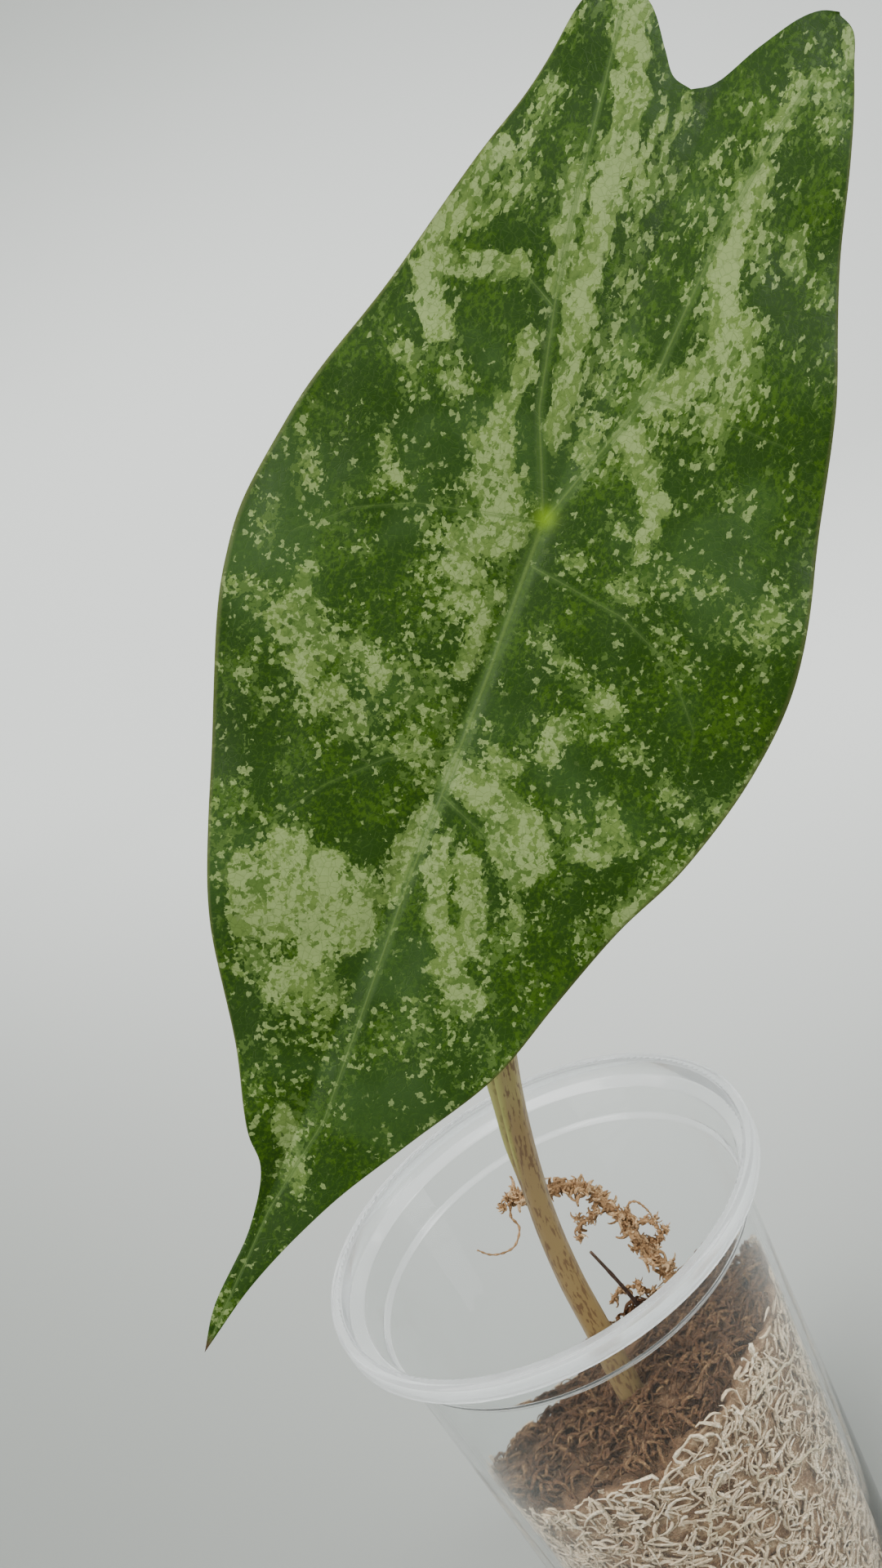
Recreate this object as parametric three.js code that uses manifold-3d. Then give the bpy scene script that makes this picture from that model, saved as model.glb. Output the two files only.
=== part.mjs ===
// A variegated alocasia in a clear plastic cup of sphagnum moss, standing upright on its base.
// Millimetres, +Z up, origin at the centre of the cup's foot. +X is the side to which the petiole leans,
// and the upper face of the leaf looks along -Y.
import * as THREE from "three";
import { mergeVertices } from "three/addons/utils/BufferGeometryUtils.js";
import Module from "manifold-3d";

const wasm = await Module();
wasm.setup();

// Clearance between pieces that touch
const GAP = 0.35;

// Cup: a tapered tub with two stacking ledges under a rolled rim
const CUP_HEIGHT = 142;
const CUP_WALL = 0.9;
const CUP_FOOT_RADIUS = 42.2;
const CUP_BODY_TOP_RADIUS = 50.0;
const CUP_BODY_BOTTOM_Z = 1.4;
const CUP_BODY_TOP_Z = 125.2;
const CUP_COLLAR_FOOT_RADIUS = 51.4;
const CUP_COLLAR_RADIUS = 52.6;
const CUP_COLLAR_TOP_Z = 134.4;
const CUP_NECK_RADIUS = 56.4;
const CUP_RIM_RADIUS = 58.5;
const CUP_SKIRT_Z = 137.3;
const CUP_SEGMENTS = 48;

// Moss bed: its top slopes up towards the near wall and curls up to the right and the left
const MOSS_CENTRE_Z = 78;
const MOSS_SLOPE_X = 0.23;
const MOSS_SLOPE_Y = -0.36;
const MOSS_CURL_X = 0.0043;
const MOSS_BUMP = 2.2;
const MOSS_SIDE_RELIEF = 1.1;
const MOSS_AROUND = 36;
const MOSS_STRANDS = 30;

// Petiole: a leaning stalk with an open sheath, from the corm to the back of the blade
const PETIOLE_BASE = new THREE.Vector3(-3, 0, 67);
const PETIOLE_BASE_RADIUS = 3.7;
const PETIOLE_TOP_RADIUS = 2.2;
const SHEATH_START = 0.28;
const SHEATH_RISE = 0.15;
const SHEATH_END = 0.66;
const SHEATH_HEIGHT = 2.9;
const PETIOLE_RINGS = 30;
const PETIOLE_SIDES = 16;

// Corm and roots inside the moss
const CORM_CENTRE = new THREE.Vector3(-3, 0, 58);
const CORM_RADIUS = 8.5;
const CORM_HALF_HEIGHT = 11;
const ROOTS = 5;

// Loose sprig of moss on the far wall
const SPRIG_CURLS = 38;
const SPRIG_DEPTH = 4.2;
const SPRIG_STOPS = [[59, 66], [61.3, 75], [64, 83], [66.5, 90], [71.2, 101], [73.8, 108], [81.7, 112.5],
  [88.7, 114.5], [97, 117], [102.5, 118]];

// Blade: a long arrowhead joined across its base, hung by its back from the petiole
const BLADE_CENTRE = new THREE.Vector3(75.2, -8.2, 293.6);
const BLADE_LEAN_DEG = 16.5;
const BLADE_SWING_DEG = 50.4;
const BLADE_THICKNESS = 0.9;
const BLADE_MIDRIB_RELIEF = 2.0;
const BLADE_ROWS = 34;
const BLADE_SINUS_ROW = 29;
const BLADE_COLUMNS = 8;
const BLADE_SINUS_SHARE = 0.905;

// Outline of the blade: [along the midrib towards the tip, across], from the point where the petiole joins
const MIDLINE = [[200, 0], [163, 1.3], [139, 5.1], [116, 4], [83, 2.4], [34, 1.4], [0, 0], [-50, -3.2],
  [-102, -5.9]];
const LEFT_LOBE = [[-102, -5.9], [-103, -10.4], [-108, -14.5], [-117, -22], [-119, -30.2]];
const RIGHT_LOBE = [[-102, -5.9], [-105, -2.3], [-118, 4.6], [-128, 10.8], [-133, 18]];
const LEFT_EDGE = [[200, 0], [189, -1.9], [169, -1.2], [154, -4.1], [148, -9.3], [132, -18.6], [109, -33.2],
  [86, -43], [60, -52.3], [34, -60.1], [20, -62], [0, -59], [-28, -52.5], [-63, -43.9], [-95, -37.6],
  [-111, -35], [-119, -30.2]];
const RIGHT_EDGE = [[200, 0], [180, 4.4], [157, 13], [137, 24.3], [116, 35.3], [96, 42.1], [75, 48.9],
  [57, 56.3], [35, 62.5], [18, 63.5], [-4, 60], [-32, 52.9], [-60, 44.2], [-92, 34.1], [-121, 26.2],
  [-130, 23.1], [-133, 18]];

// Veins that stand out of the back: points, height and half width
const VEINS = [
  { points: MIDLINE.slice(0, 7), height: 2.4, width: 2.6 },
  { points: [[0, 0], [-22, -10], [-45, -15.6], [-66, -19.6], [-111, -26.3]], height: 1.9, width: 2.2 },
  { points: [[0, 0], [-33, 10.4], [-72, 11.9], [-95, 14.5], [-116, 18.5]], height: 1.9, width: 2.2 },
  { points: [[0, 0], [3, -11], [7, -27], [13, -39], [22, -49]], height: 0.9, width: 1.8 },
  { points: [[10, 2], [13, 23], [19, 37], [30, 47], [39, 49]], height: 0.9, width: 1.8 },
  { points: [[52, 2], [60, -12], [70, -22], [86, -33]], height: 0.8, width: 1.8 },
  { points: [[63, 2], [69, 18], [80, 28], [93, 33]], height: 0.8, width: 1.8 },
  { points: [[-33, 10], [-34, 25], [-34, 42]], height: 0.7, width: 1.8 },
  { points: [[-44, -16], [-48, -24], [-47, -32], [-43, -40]], height: 0.7, width: 1.8 },
];

// A small seeded random generator, so that every build gives the same part
function seeded(seed) {
  let state = seed;
  return () => {
    state = (state + 0x6d2b79f5) | 0;
    let t = Math.imul(state ^ (state >>> 15), 1 | state);
    t = (t + Math.imul(t ^ (t >>> 7), 61 | t)) ^ t;
    return ((t ^ (t >>> 14)) >>> 0) / 4294967296;
  };
}

// Smooth bumps that repeat nowhere on the part: a sum of sines at odd angles
function bumps(x, y, period) {
  const k = (2 * Math.PI) / period;
  const first = Math.sin(k * (x + 0.6 * y));
  const second = Math.sin(k * (1.3 * y - 0.7 * x) + 1.7);
  return (first + second + Math.sin(k * (0.4 * x - 1.6 * y) + 4)) / 3;
}

// An angle brought between minus and plus half a turn
function turn(angle) {
  return Math.atan2(Math.sin(angle), Math.cos(angle));
}

function smoothstep(low, high, x) {
  const t = THREE.MathUtils.clamp((x - low) / (high - low), 0, 1);
  return t * t * (3 - 2 * t);
}

// A closed geometry as a manifold solid
function solid(geometry) {
  const bare = geometry.index ? geometry.toNonIndexed() : geometry.clone();
  bare.deleteAttribute("normal");
  bare.deleteAttribute("uv");
  const merged = mergeVertices(bare, 1e-4);
  const vertProperties = merged.attributes.position.array;
  const triVerts = new Uint32Array(merged.index.array);
  return new wasm.Manifold(new wasm.Mesh({ numProp: 3, vertProperties, triVerts }));
}

// A manifold solid as a geometry
function geometryOf(made) {
  const mesh = made.getMesh();
  const points = new Float32Array(mesh.numVert * 3);
  for (let i = 0; i < mesh.numVert; i++) {
    points.set(mesh.vertProperties.subarray(i * mesh.numProp, i * mesh.numProp + 3), i * 3);
  }
  return new THREE.BufferGeometry()
    .setAttribute("position", new THREE.BufferAttribute(points, 3))
    .setIndex(new THREE.BufferAttribute(mesh.triVerts, 1));
}

// The largest connected piece, with loose scraps dropped
function largest(made) {
  return made.decompose().reduce((best, piece) => (piece.volume() > best.volume() ? piece : best));
}

function indexed(points, triangles) {
  return new THREE.BufferGeometry()
    .setAttribute("position", new THREE.Float32BufferAttribute(points.flatMap((p) => [p.x, p.y, p.z]), 3))
    .setIndex(triangles);
}

// A tube along a curve. radius(share, angle) gives its section, and the ends are closed by fans
function tube(curve, rings, sides, radius, start = 0) {
  const frames = curve.computeFrenetFrames(rings, false);
  const points = [];
  const triangles = [];
  for (let i = 0; i <= rings; i++) {
    const centre = curve.getPointAt(i / rings);
    for (let j = 0; j < sides; j++) {
      const angle = start + (2 * Math.PI * j) / sides;
      const r = radius(i / rings, angle);
      points.push(centre.clone()
        .addScaledVector(frames.normals[i], r * Math.cos(angle))
        .addScaledVector(frames.binormals[i], r * Math.sin(angle)));
    }
  }
  for (let i = 0; i < rings; i++) {
    for (let j = 0; j < sides; j++) {
      const a = i * sides + j;
      const b = i * sides + ((j + 1) % sides);
      triangles.push(a, b, b + sides, a, b + sides, a + sides);
    }
  }
  const last = rings * sides;
  for (let j = 1; j < sides - 1; j++) {
    triangles.push(0, j + 1, j, last, last + j, last + j + 1);
  }
  return indexed(points, triangles);
}

// The cup's inner radius at a height on its tapered body
function cupInnerRadius(z) {
  const share = (z - CUP_BODY_BOTTOM_Z) / (CUP_BODY_TOP_Z - CUP_BODY_BOTTOM_Z);
  return CUP_FOOT_RADIUS + 0.6 + share * (CUP_BODY_TOP_RADIUS - CUP_FOOT_RADIUS - 0.6) - CUP_WALL;
}

// A profile of [radius, height] points turned about the vertical axis
function turned(profile) {
  const outline = profile.map(([r, z]) => new THREE.Vector2(r, z));
  return new THREE.LatheGeometry(outline, CUP_SEGMENTS).rotateX(Math.PI / 2);
}

// One closed outline: out along the base, up the outside, over the rim and down the inside
function cupGeometry() {
  return turned([
    [0, 0],
    [CUP_FOOT_RADIUS - 0.8, 0],
    [CUP_FOOT_RADIUS + 0.6, CUP_BODY_BOTTOM_Z],
    [CUP_BODY_TOP_RADIUS, CUP_BODY_TOP_Z],
    [CUP_COLLAR_FOOT_RADIUS, CUP_BODY_TOP_Z + 1.4],
    [CUP_COLLAR_RADIUS, CUP_COLLAR_TOP_Z],
    [CUP_NECK_RADIUS - 0.1, CUP_COLLAR_TOP_Z + 1.3],
    [CUP_NECK_RADIUS, CUP_HEIGHT - 1.6],
    [CUP_RIM_RADIUS - 0.9, CUP_HEIGHT - 1.6],
    [CUP_RIM_RADIUS - 0.8, CUP_SKIRT_Z],
    [CUP_RIM_RADIUS, CUP_SKIRT_Z],
    [CUP_RIM_RADIUS, CUP_HEIGHT - 0.9],
    [CUP_RIM_RADIUS - 1, CUP_HEIGHT],
    [CUP_NECK_RADIUS - 0.2, CUP_HEIGHT],
    [CUP_NECK_RADIUS - CUP_WALL, CUP_HEIGHT - 1.2],
    [CUP_NECK_RADIUS - CUP_WALL, CUP_COLLAR_TOP_Z + 1.8],
    [CUP_COLLAR_RADIUS - CUP_WALL, CUP_COLLAR_TOP_Z + 0.5],
    [CUP_COLLAR_FOOT_RADIUS - CUP_WALL, CUP_BODY_TOP_Z + 1.9],
    [CUP_BODY_TOP_RADIUS - CUP_WALL, CUP_BODY_TOP_Z + 0.5],
    [CUP_FOOT_RADIUS - 0.2, CUP_WALL + 1.4],
    [CUP_FOOT_RADIUS - 1.6, CUP_WALL],
    [0, CUP_WALL],
  ]);
}

// Space inside the cup's body that pieces may fill
function cupSpace(clearance) {
  const top = CUP_BODY_TOP_Z - 1;
  const [low, high] = [cupInnerRadius(0) - clearance, cupInnerRadius(top) - clearance];
  return solid(turned([[0, 0], [low, 0], [high, top], [0, top]]));
}

// Height of the moss bed's top
function mossTop(x, y) {
  const hump = 2 * Math.exp(-(x * x + y * y) / 260);
  const slope = MOSS_SLOPE_X * x + MOSS_CURL_X * x * x + MOSS_SLOPE_Y * y;
  return MOSS_CENTRE_Z + slope + hump + MOSS_BUMP * bumps(x, y, 23);
}

// The bed as rings: the middle of the top, out to the wall, down the side and back to the middle of the floor
function mossBody() {
  const bottom = CUP_WALL + GAP;
  const topShares = [0.22, 0.44, 0.64, 0.82, 0.94];
  const sideShares = [0, 0.12, 0.26, 0.4, 0.54, 0.68, 0.82, 0.93, 1];
  const points = [new THREE.Vector3(0, 0, mossTop(0, 0))];
  const ring = (place) => {
    for (let j = 0; j < MOSS_AROUND; j++) {
      points.push(place((2 * Math.PI * j) / MOSS_AROUND));
    }
  };
  for (const share of topShares) {
    ring((angle) => {
      const r = share * (cupInnerRadius(MOSS_CENTRE_Z) - 1);
      const x = r * Math.cos(angle);
      const y = r * Math.sin(angle);
      return new THREE.Vector3(x, y, mossTop(x, y));
    });
  }
  for (const share of sideShares) {
    ring((angle) => {
      const flank = cupInnerRadius(MOSS_CENTRE_Z) - 1;
      const top = mossTop(flank * Math.cos(angle), flank * Math.sin(angle)) - 1.5;
      const z = top + share * (bottom - top);
      const relief = MOSS_SIDE_RELIEF * (0.5 + 0.5 * bumps(angle * 46, z, 19));
      const foot = share === 1 ? 2.6 : 0;
      const r = cupInnerRadius(z) - 2 * GAP - relief - foot;
      return new THREE.Vector3(r * Math.cos(angle), r * Math.sin(angle), z);
    });
  }
  points.push(new THREE.Vector3(0, 0, bottom));
  const triangles = [];
  const rings = topShares.length + sideShares.length;
  for (let j = 0; j < MOSS_AROUND; j++) {
    const next = (j + 1) % MOSS_AROUND;
    triangles.push(0, 1 + j, 1 + next);
    for (let i = 0; i < rings - 1; i++) {
      const a = 1 + i * MOSS_AROUND + j;
      const b = 1 + i * MOSS_AROUND + next;
      triangles.push(a, a + MOSS_AROUND, b + MOSS_AROUND, a, b + MOSS_AROUND, b);
    }
    const last = 1 + (rings - 1) * MOSS_AROUND;
    triangles.push(last + j, points.length - 1, last + next);
  }
  return solid(indexed(points, triangles));
}

// Curled strands of moss standing out of the top, with their roots sunk in
function mossStrands() {
  const random = seeded(7);
  const strands = [];
  for (let i = 0; i < MOSS_STRANDS; i++) {
    const turn = i * 2.39996;
    const r = 9 + 37 * Math.sqrt((i + 0.5) / MOSS_STRANDS) * 0.93;
    const x = r * Math.cos(turn);
    const y = r * Math.sin(turn);
    const heading = random() * 2 * Math.PI;
    const reach = 6 + 7 * random();
    const lift = 2 + 5 * random() * random() + (random() > 0.85 ? 6 : 0);
    const place = (along, up) => {
      const px = x + along * reach * Math.cos(heading);
      const py = y + along * reach * Math.sin(heading);
      return new THREE.Vector3(px, py, mossTop(px, py) + up);
    };
    const stops = [place(-0.2, -3), place(0.15, lift * 0.7), place(0.6, lift), place(1, lift * 0.4)];
    strands.push(solid(tube(new THREE.CatmullRomCurve3(stops), 4, 3, (share) => 1.5 - 0.8 * share)));
  }
  return wasm.Manifold.union(strands);
}

function petioleCurve() {
  return new THREE.CatmullRomCurve3([
    PETIOLE_BASE,
    new THREE.Vector3(-2.7, 0.3, 84),
    new THREE.Vector3(-2.3, 1, 98.4),
    new THREE.Vector3(-1.9, 2, 116.7),
    new THREE.Vector3(0.9, 4, 140),
    new THREE.Vector3(10.2, 8, 174.6),
    new THREE.Vector3(28, 11.5, 214),
    new THREE.Vector3(51, 9, 252),
    new THREE.Vector3(67.5, 0.5, 280),
    BLADE_CENTRE,
  ]);
}

// Two margins of the sheath stand out of the stalk's side; spread makes the whole a little fatter
function petioleBody(spread) {
  const facing = sheathAngle();
  const second = facing + (2 * 2 * Math.PI) / PETIOLE_SIDES;
  const fin = (angle, middle) => Math.exp(-((turn(angle - middle) / 0.2) ** 2));
  const section = (share, angle) => {
    const opens = smoothstep(SHEATH_START, SHEATH_START + SHEATH_RISE, share);
    const open = opens * (1 - smoothstep(SHEATH_END - 0.06, SHEATH_END, share));
    const stalk = THREE.MathUtils.lerp(PETIOLE_BASE_RADIUS, PETIOLE_TOP_RADIUS, Math.min(1, share * 1.25));
    const swell = 0.9 * smoothstep(0.9, 1, share);
    return stalk + swell + spread + SHEATH_HEIGHT * open * (fin(angle, facing) + 0.6 * fin(angle, second));
  };
  return solid(tube(petioleCurve(), PETIOLE_RINGS, PETIOLE_SIDES, section, facing));
}

// Angle of the sheath's open side in the stalk's own frames: towards -X and a little up
function sheathAngle() {
  const frames = petioleCurve().computeFrenetFrames(PETIOLE_RINGS, false);
  const middle = Math.round(PETIOLE_RINGS / 2);
  const way = new THREE.Vector3(-0.88, 0.2, 0.35);
  return Math.atan2(way.dot(frames.binormals[middle]), way.dot(frames.normals[middle]));
}

// The corm and its roots, which run out and down through the moss
function cormBody(spread) {
  const random = seeded(21);
  const corm = new THREE.SphereGeometry(1, 12, 8).rotateX(Math.PI / 2)
    .scale(CORM_RADIUS + spread, CORM_RADIUS + spread, CORM_HALF_HEIGHT + spread)
    .translate(CORM_CENTRE.x, CORM_CENTRE.y, CORM_CENTRE.z);
  const pieces = [solid(corm)];
  for (let i = 0; i < ROOTS; i++) {
    const turn = (2 * Math.PI * (i + 0.3 * random())) / ROOTS;
    const far = 34 + 3 * random();
    const drop = 14 + 24 * random();
    const place = (share, down) => new THREE.Vector3(
      CORM_CENTRE.x * (1 - share) + far * share * Math.cos(turn + 0.5 * share),
      far * share * Math.sin(turn + 0.5 * share),
      CORM_CENTRE.z - 3 - down,
    );
    const stops = [place(0.08, 0), place(0.45, drop * 0.25), place(0.85, drop * 0.7), place(1, drop)];
    pieces.push(solid(tube(new THREE.CatmullRomCurve3(stops), 6, 4, (share) => 1.4 - 0.5 * share + spread)));
  }
  return wasm.Manifold.union(pieces);
}

// A loose sprig of moss that climbs the far wall from the bed; each stop is [angle in degrees, height]
function sprigBody() {
  const random = seeded(33);
  const curve = new THREE.CatmullRomCurve3(SPRIG_STOPS.map(([degrees, z]) => {
    const angle = THREE.MathUtils.degToRad(degrees);
    const r = cupInnerRadius(z) - SPRIG_DEPTH;
    return new THREE.Vector3(r * Math.cos(angle), r * Math.sin(angle), z);
  }));
  const pieces = [solid(tube(curve, 10, 5, (share) => 2 - 0.6 * share))];
  for (let i = 0; i < SPRIG_CURLS; i++) {
    const root = curve.getPointAt((i + 0.5) / SPRIG_CURLS);
    const jitter = () => new THREE.Vector3(random() - 0.5, random() - 0.5, random() - 0.5);
    const end = root.clone().addScaledVector(jitter().normalize(), 3.5 + 4 * random());
    const curl = new THREE.CatmullRomCurve3([root, root.clone().lerp(end, 0.5).add(jitter()), end]);
    pieces.push(solid(tube(curl, 2, 3, (along) => 1.5 - 0.9 * along)));
  }
  return wasm.Manifold.union(pieces).intersect(cupSpace(GAP));
}

// A thin dry twig that stands in a hole in the moss
function twigBody(spread) {
  const foot = new THREE.Vector3(10, 31.3, 58);
  const top = new THREE.Vector3(3.8, 30, 99);
  const middle = foot.clone().lerp(top, 0.5).add(new THREE.Vector3(0.8, 0, 0));
  const curve = new THREE.CatmullRomCurve3([foot, middle, top]);
  return solid(tube(curve, 5, 6, (share) => 0.8 - 0.35 * share + spread));
}

// The blade's own axes: along the midrib to the tip, across, and out of the upper face
function bladeFrame() {
  const lean = THREE.MathUtils.degToRad(BLADE_LEAN_DEG);
  const swing = THREE.MathUtils.degToRad(BLADE_SWING_DEG);
  const plumb = new THREE.Vector3(0, -Math.sin(lean), -Math.cos(lean));
  const level = new THREE.Vector3(1, 0, 0);
  return {
    along: level.clone().multiplyScalar(-Math.sin(swing)).addScaledVector(plumb, Math.cos(swing)),
    across: level.clone().multiplyScalar(Math.cos(swing)).addScaledVector(plumb, Math.sin(swing)),
    out: new THREE.Vector3(0, -Math.cos(lean), Math.sin(lean)),
  };
}

// Distance from (a, b) to a run of points, and how far along the run it lies, as a share
function toRun(points, a, b) {
  let best = { distance: Infinity, share: 0 };
  for (let i = 0; i < points.length - 1; i++) {
    const [a0, b0] = points[i];
    const [a1, b1] = points[i + 1];
    const length = (a1 - a0) ** 2 + (b1 - b0) ** 2;
    const t = THREE.MathUtils.clamp(((a - a0) * (a1 - a0) + (b - b0) * (b1 - b0)) / length, 0, 1);
    const distance = Math.hypot(a - a0 - t * (a1 - a0), b - b0 - t * (b1 - b0));
    if (distance < best.distance) {
      best = { distance, share: (i + t) / (points.length - 1) };
    }
  }
  return best;
}

// How far the blade's middle stands out of its flat frame: an arch along the midrib, halves that rise from
// the midrib and fall to the margin, and a waved margin
function bladeRelief(a, b, share) {
  const arch = a > 0 ? -0.00036 * a * a : -0.0007 * a * a;
  const fold = 0.13 * Math.abs(b) - 0.0016 * b * b;
  const wave = 1.9 * share ** 2 * Math.sin(a / 8.5 + (b > 0 ? 0.8 : 2.6)) * smoothstep(200, 120, a);
  const groove = -0.7 * Math.exp(-((b / 3) ** 2)) * smoothstep(195, 150, a);
  return arch + fold + wave + groove;
}

// Height of the veins on the back; each one fades towards its far end
function ribHeight(a, b) {
  return VEINS.reduce((tallest, vein, i) => {
    const { distance, share } = toRun(vein.points, a, b);
    const fade = i === 0 ? 0.2 + 0.8 * share : 1 - 0.75 * share;
    return Math.max(tallest, vein.height * fade * Math.exp(-((distance / vein.width) ** 2)));
  }, 0);
}

function outlineCurve(points) {
  return new THREE.CatmullRomCurve3(points.map(([a, b]) => new THREE.Vector3(a, b, 0)), false, "centripetal");
}

// The blade as a grid of rows across each half, between the midline and the margin.
// front and back move the two faces; both are split into triangles alike, so they never cross
function bladeBody(front, back) {
  const frame = bladeFrame();
  const midline = outlineCurve(MIDLINE);
  const halves = [
    { lobe: outlineCurve(LEFT_LOBE), edge: outlineCurve(LEFT_EDGE) },
    { lobe: outlineCurve(RIGHT_LOBE), edge: outlineCurve(RIGHT_EDGE) },
  ];
  const flat = [];
  const numbers = new Map();
  const spot = (half, i, j) => {
    const past = (i - BLADE_SINUS_ROW) / (BLADE_ROWS - BLADE_SINUS_ROW);
    const inLobe = past > 0;
    const inner = inLobe ? halves[half].lobe.getPointAt(past) : midline.getPointAt(i / BLADE_SINUS_ROW);
    const reached = inLobe ? (1 - BLADE_SINUS_SHARE) * past : (BLADE_SINUS_SHARE * i) / BLADE_SINUS_ROW;
    const edgeShare = inLobe ? BLADE_SINUS_SHARE + reached : reached;
    const share = (j / BLADE_COLUMNS) ** 1.35;
    const p = inner.clone().lerp(halves[half].edge.getPointAt(edgeShare), share);
    return { a: p.x, b: p.y, share };
  };
  const keyOf = (half, i, j) => {
    if (i === 0) {
      return "tip";
    }
    if (i === BLADE_ROWS) {
      return `end ${half}`;
    }
    return j === 0 && i <= BLADE_SINUS_ROW ? `middle ${i}` : `${half} ${i} ${j}`;
  };
  const number = (half, i, j) => {
    const key = keyOf(half, i, j);
    if (!numbers.has(key)) {
      numbers.set(key, flat.length);
      flat.push(spot(half, i, j));
    }
    return numbers.get(key);
  };
  const faces = [];
  const add = (p, q, r) => {
    if (p !== q && q !== r && p !== r) {
      faces.push([p, q, r]);
    }
  };
  for (let half = 0; half < 2; half++) {
    for (let i = 0; i < BLADE_ROWS; i++) {
      for (let j = 0; j < BLADE_COLUMNS; j++) {
        const steps = [[0, 0], [1, 0], [1, 1], [0, 1]];
        const quad = steps.map(([down, over]) => number(half, i + down, j + over));
        if (half === 1) {
          quad.reverse();
        }
        add(quad[0], quad[1], quad[2]);
        add(quad[0], quad[2], quad[3]);
      }
    }
  }
  const count = flat.length;
  const lift = (p, height) => BLADE_CENTRE.clone()
    .addScaledVector(frame.along, p.a).addScaledVector(frame.across, p.b).addScaledVector(frame.out, height);
  const points = [
    ...flat.map((p) => lift(p, bladeRelief(p.a, p.b, p.share) + front)),
    ...flat.map((p) => lift(p, bladeRelief(p.a, p.b, p.share) - back - ribHeight(p.a, p.b))),
  ];
  const edges = new Set(faces.flatMap(([p, q, r]) => [`${p},${q}`, `${q},${r}`, `${r},${p}`]));
  const triangles = [];
  for (const [p, q, r] of faces) {
    triangles.push(p, q, r, count + p, count + r, count + q);
    for (const [s, e] of [[p, q], [q, r], [r, p]]) {
      if (!edges.has(`${e},${s}`)) {
        triangles.push(s, count + s, count + e, s, count + e, e);
      }
    }
  }
  const made = solid(indexed(points, triangles));
  return made.volume() < 0 ? solid(indexed(points, triangles.reverse())) : made;
}

const group = new THREE.Group();

function place(name, geometry, colour, roughness, more = {}) {
  const material = new THREE.MeshStandardMaterial({ color: colour, roughness, metalness: 0, ...more });
  const mesh = new THREE.Mesh(geometry, material);
  mesh.name = name;
  group.add(mesh);
}

const bladeSpace = bladeBody(40, BLADE_THICKNESS / 2 + GAP);
const cormSpace = cormBody(GAP);
const petiole = petioleBody(0).subtract(bladeSpace).subtract(cormSpace);
const moss = mossBody().add(mossStrands()).intersect(cupSpace(2 * GAP))
  .subtract(petioleBody(GAP)).subtract(cormSpace).subtract(twigBody(GAP));
const mossRaised = wasm.Manifold.union([moss, moss.translate([0, 0, GAP]), twigBody(GAP)]);

place("cup", cupGeometry(), 0xe8ecec, 0.12, { transparent: true, opacity: 0.25 });
place("moss_bed", geometryOf(largest(moss)), 0xa98c62, 0.95);
place("moss_sprig", geometryOf(largest(sprigBody().subtract(mossRaised))), 0xb88b57, 0.95);
place("twig", geometryOf(twigBody(0)), 0x4a3b32, 0.9);
place("corm_and_roots", geometryOf(cormBody(0)), 0x8a6a45, 0.85);
place("petiole", geometryOf(largest(petiole)), 0x9a9560, 0.5);
place("leaf_blade", geometryOf(bladeBody(BLADE_THICKNESS / 2, BLADE_THICKNESS / 2)), 0x4f7a33, 0.45);

export default group;
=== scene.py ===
"""A variegated alocasia in a clear cup of sphagnum moss, dressed for a studio picture.

Sizes are in millimetres in the part's own frame: origin under the middle of the cup's base, +Z up.
They become metres only where a mesh is made. Lamps and backdrop are placed in metres.
"""
import logging
import math
from dataclasses import dataclass
from enum import Enum

import bpy
import numpy as np
from mathutils import Matrix, Vector


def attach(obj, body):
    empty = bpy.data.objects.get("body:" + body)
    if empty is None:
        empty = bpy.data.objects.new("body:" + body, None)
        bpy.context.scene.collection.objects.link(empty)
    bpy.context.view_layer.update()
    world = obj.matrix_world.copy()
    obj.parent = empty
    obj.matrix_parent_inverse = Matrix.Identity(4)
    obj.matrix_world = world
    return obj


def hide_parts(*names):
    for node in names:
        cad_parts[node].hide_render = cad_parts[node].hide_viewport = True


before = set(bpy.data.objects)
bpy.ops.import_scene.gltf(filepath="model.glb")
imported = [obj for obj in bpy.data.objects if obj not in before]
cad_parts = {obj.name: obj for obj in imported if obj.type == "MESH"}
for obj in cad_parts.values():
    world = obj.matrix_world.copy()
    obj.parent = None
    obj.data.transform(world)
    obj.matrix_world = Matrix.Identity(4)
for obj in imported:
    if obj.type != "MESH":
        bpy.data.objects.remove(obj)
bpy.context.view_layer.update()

MM = 0.001
ROUND = 2 * math.pi
CURVE_SAMPLES = 1500
Array = np.ndarray
Socket = bpy.types.NodeSocket
Sockets = bpy.types.bpy_prop_collection
Material = bpy.types.Material
log = logging.getLogger("alocasia")


# Curves and grids


def smooth_curve(points: tuple, shares: Array) -> Array:
    """Places along a smooth curve through points, at even steps of its length.

    The curve is a centripetal Catmull-Rom spline. It is first sampled closely, and the wanted
    places are then read off its running length.

    Args:
        points: Stops of the curve, all of two or all of three numbers.
        shares: Places wanted, from 0 at the start to 1 at the end.

    Returns:
        One row for each share.
    """
    stops = np.asarray(points, dtype=float)
    stops = np.vstack([2 * stops[0] - stops[1], stops, 2 * stops[-1] - stops[-2]])
    t = np.linspace(0, len(points) - 1, CURVE_SAMPLES)
    i = np.minimum(t.astype(int), len(points) - 2)
    u = (t - i)[:, None]
    a, b, c, d = (stops[i + k] for k in range(4))
    before, here, after = (
        np.sqrt(np.linalg.norm(q - p, axis=1, keepdims=True)) for p, q in ((a, b), (b, c), (c, d)))
    leave = here * ((b - a) / before - (c - a) / (before + here) + (c - b) / here)
    reach = here * ((c - b) / here - (d - b) / (here + after) + (d - c) / after)
    bend, twist = 3 * (c - b) - 2 * leave - reach, 2 * (b - c) + leave + reach
    dense = b + leave * u + bend * u**2 + twist * u**3
    length = np.concatenate([[0], np.cumsum(np.linalg.norm(np.diff(dense, axis=0), axis=1))])
    wanted = np.asarray(shares) * length[-1]
    return np.stack([np.interp(wanted, length, column) for column in dense.T], axis=-1)


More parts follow.
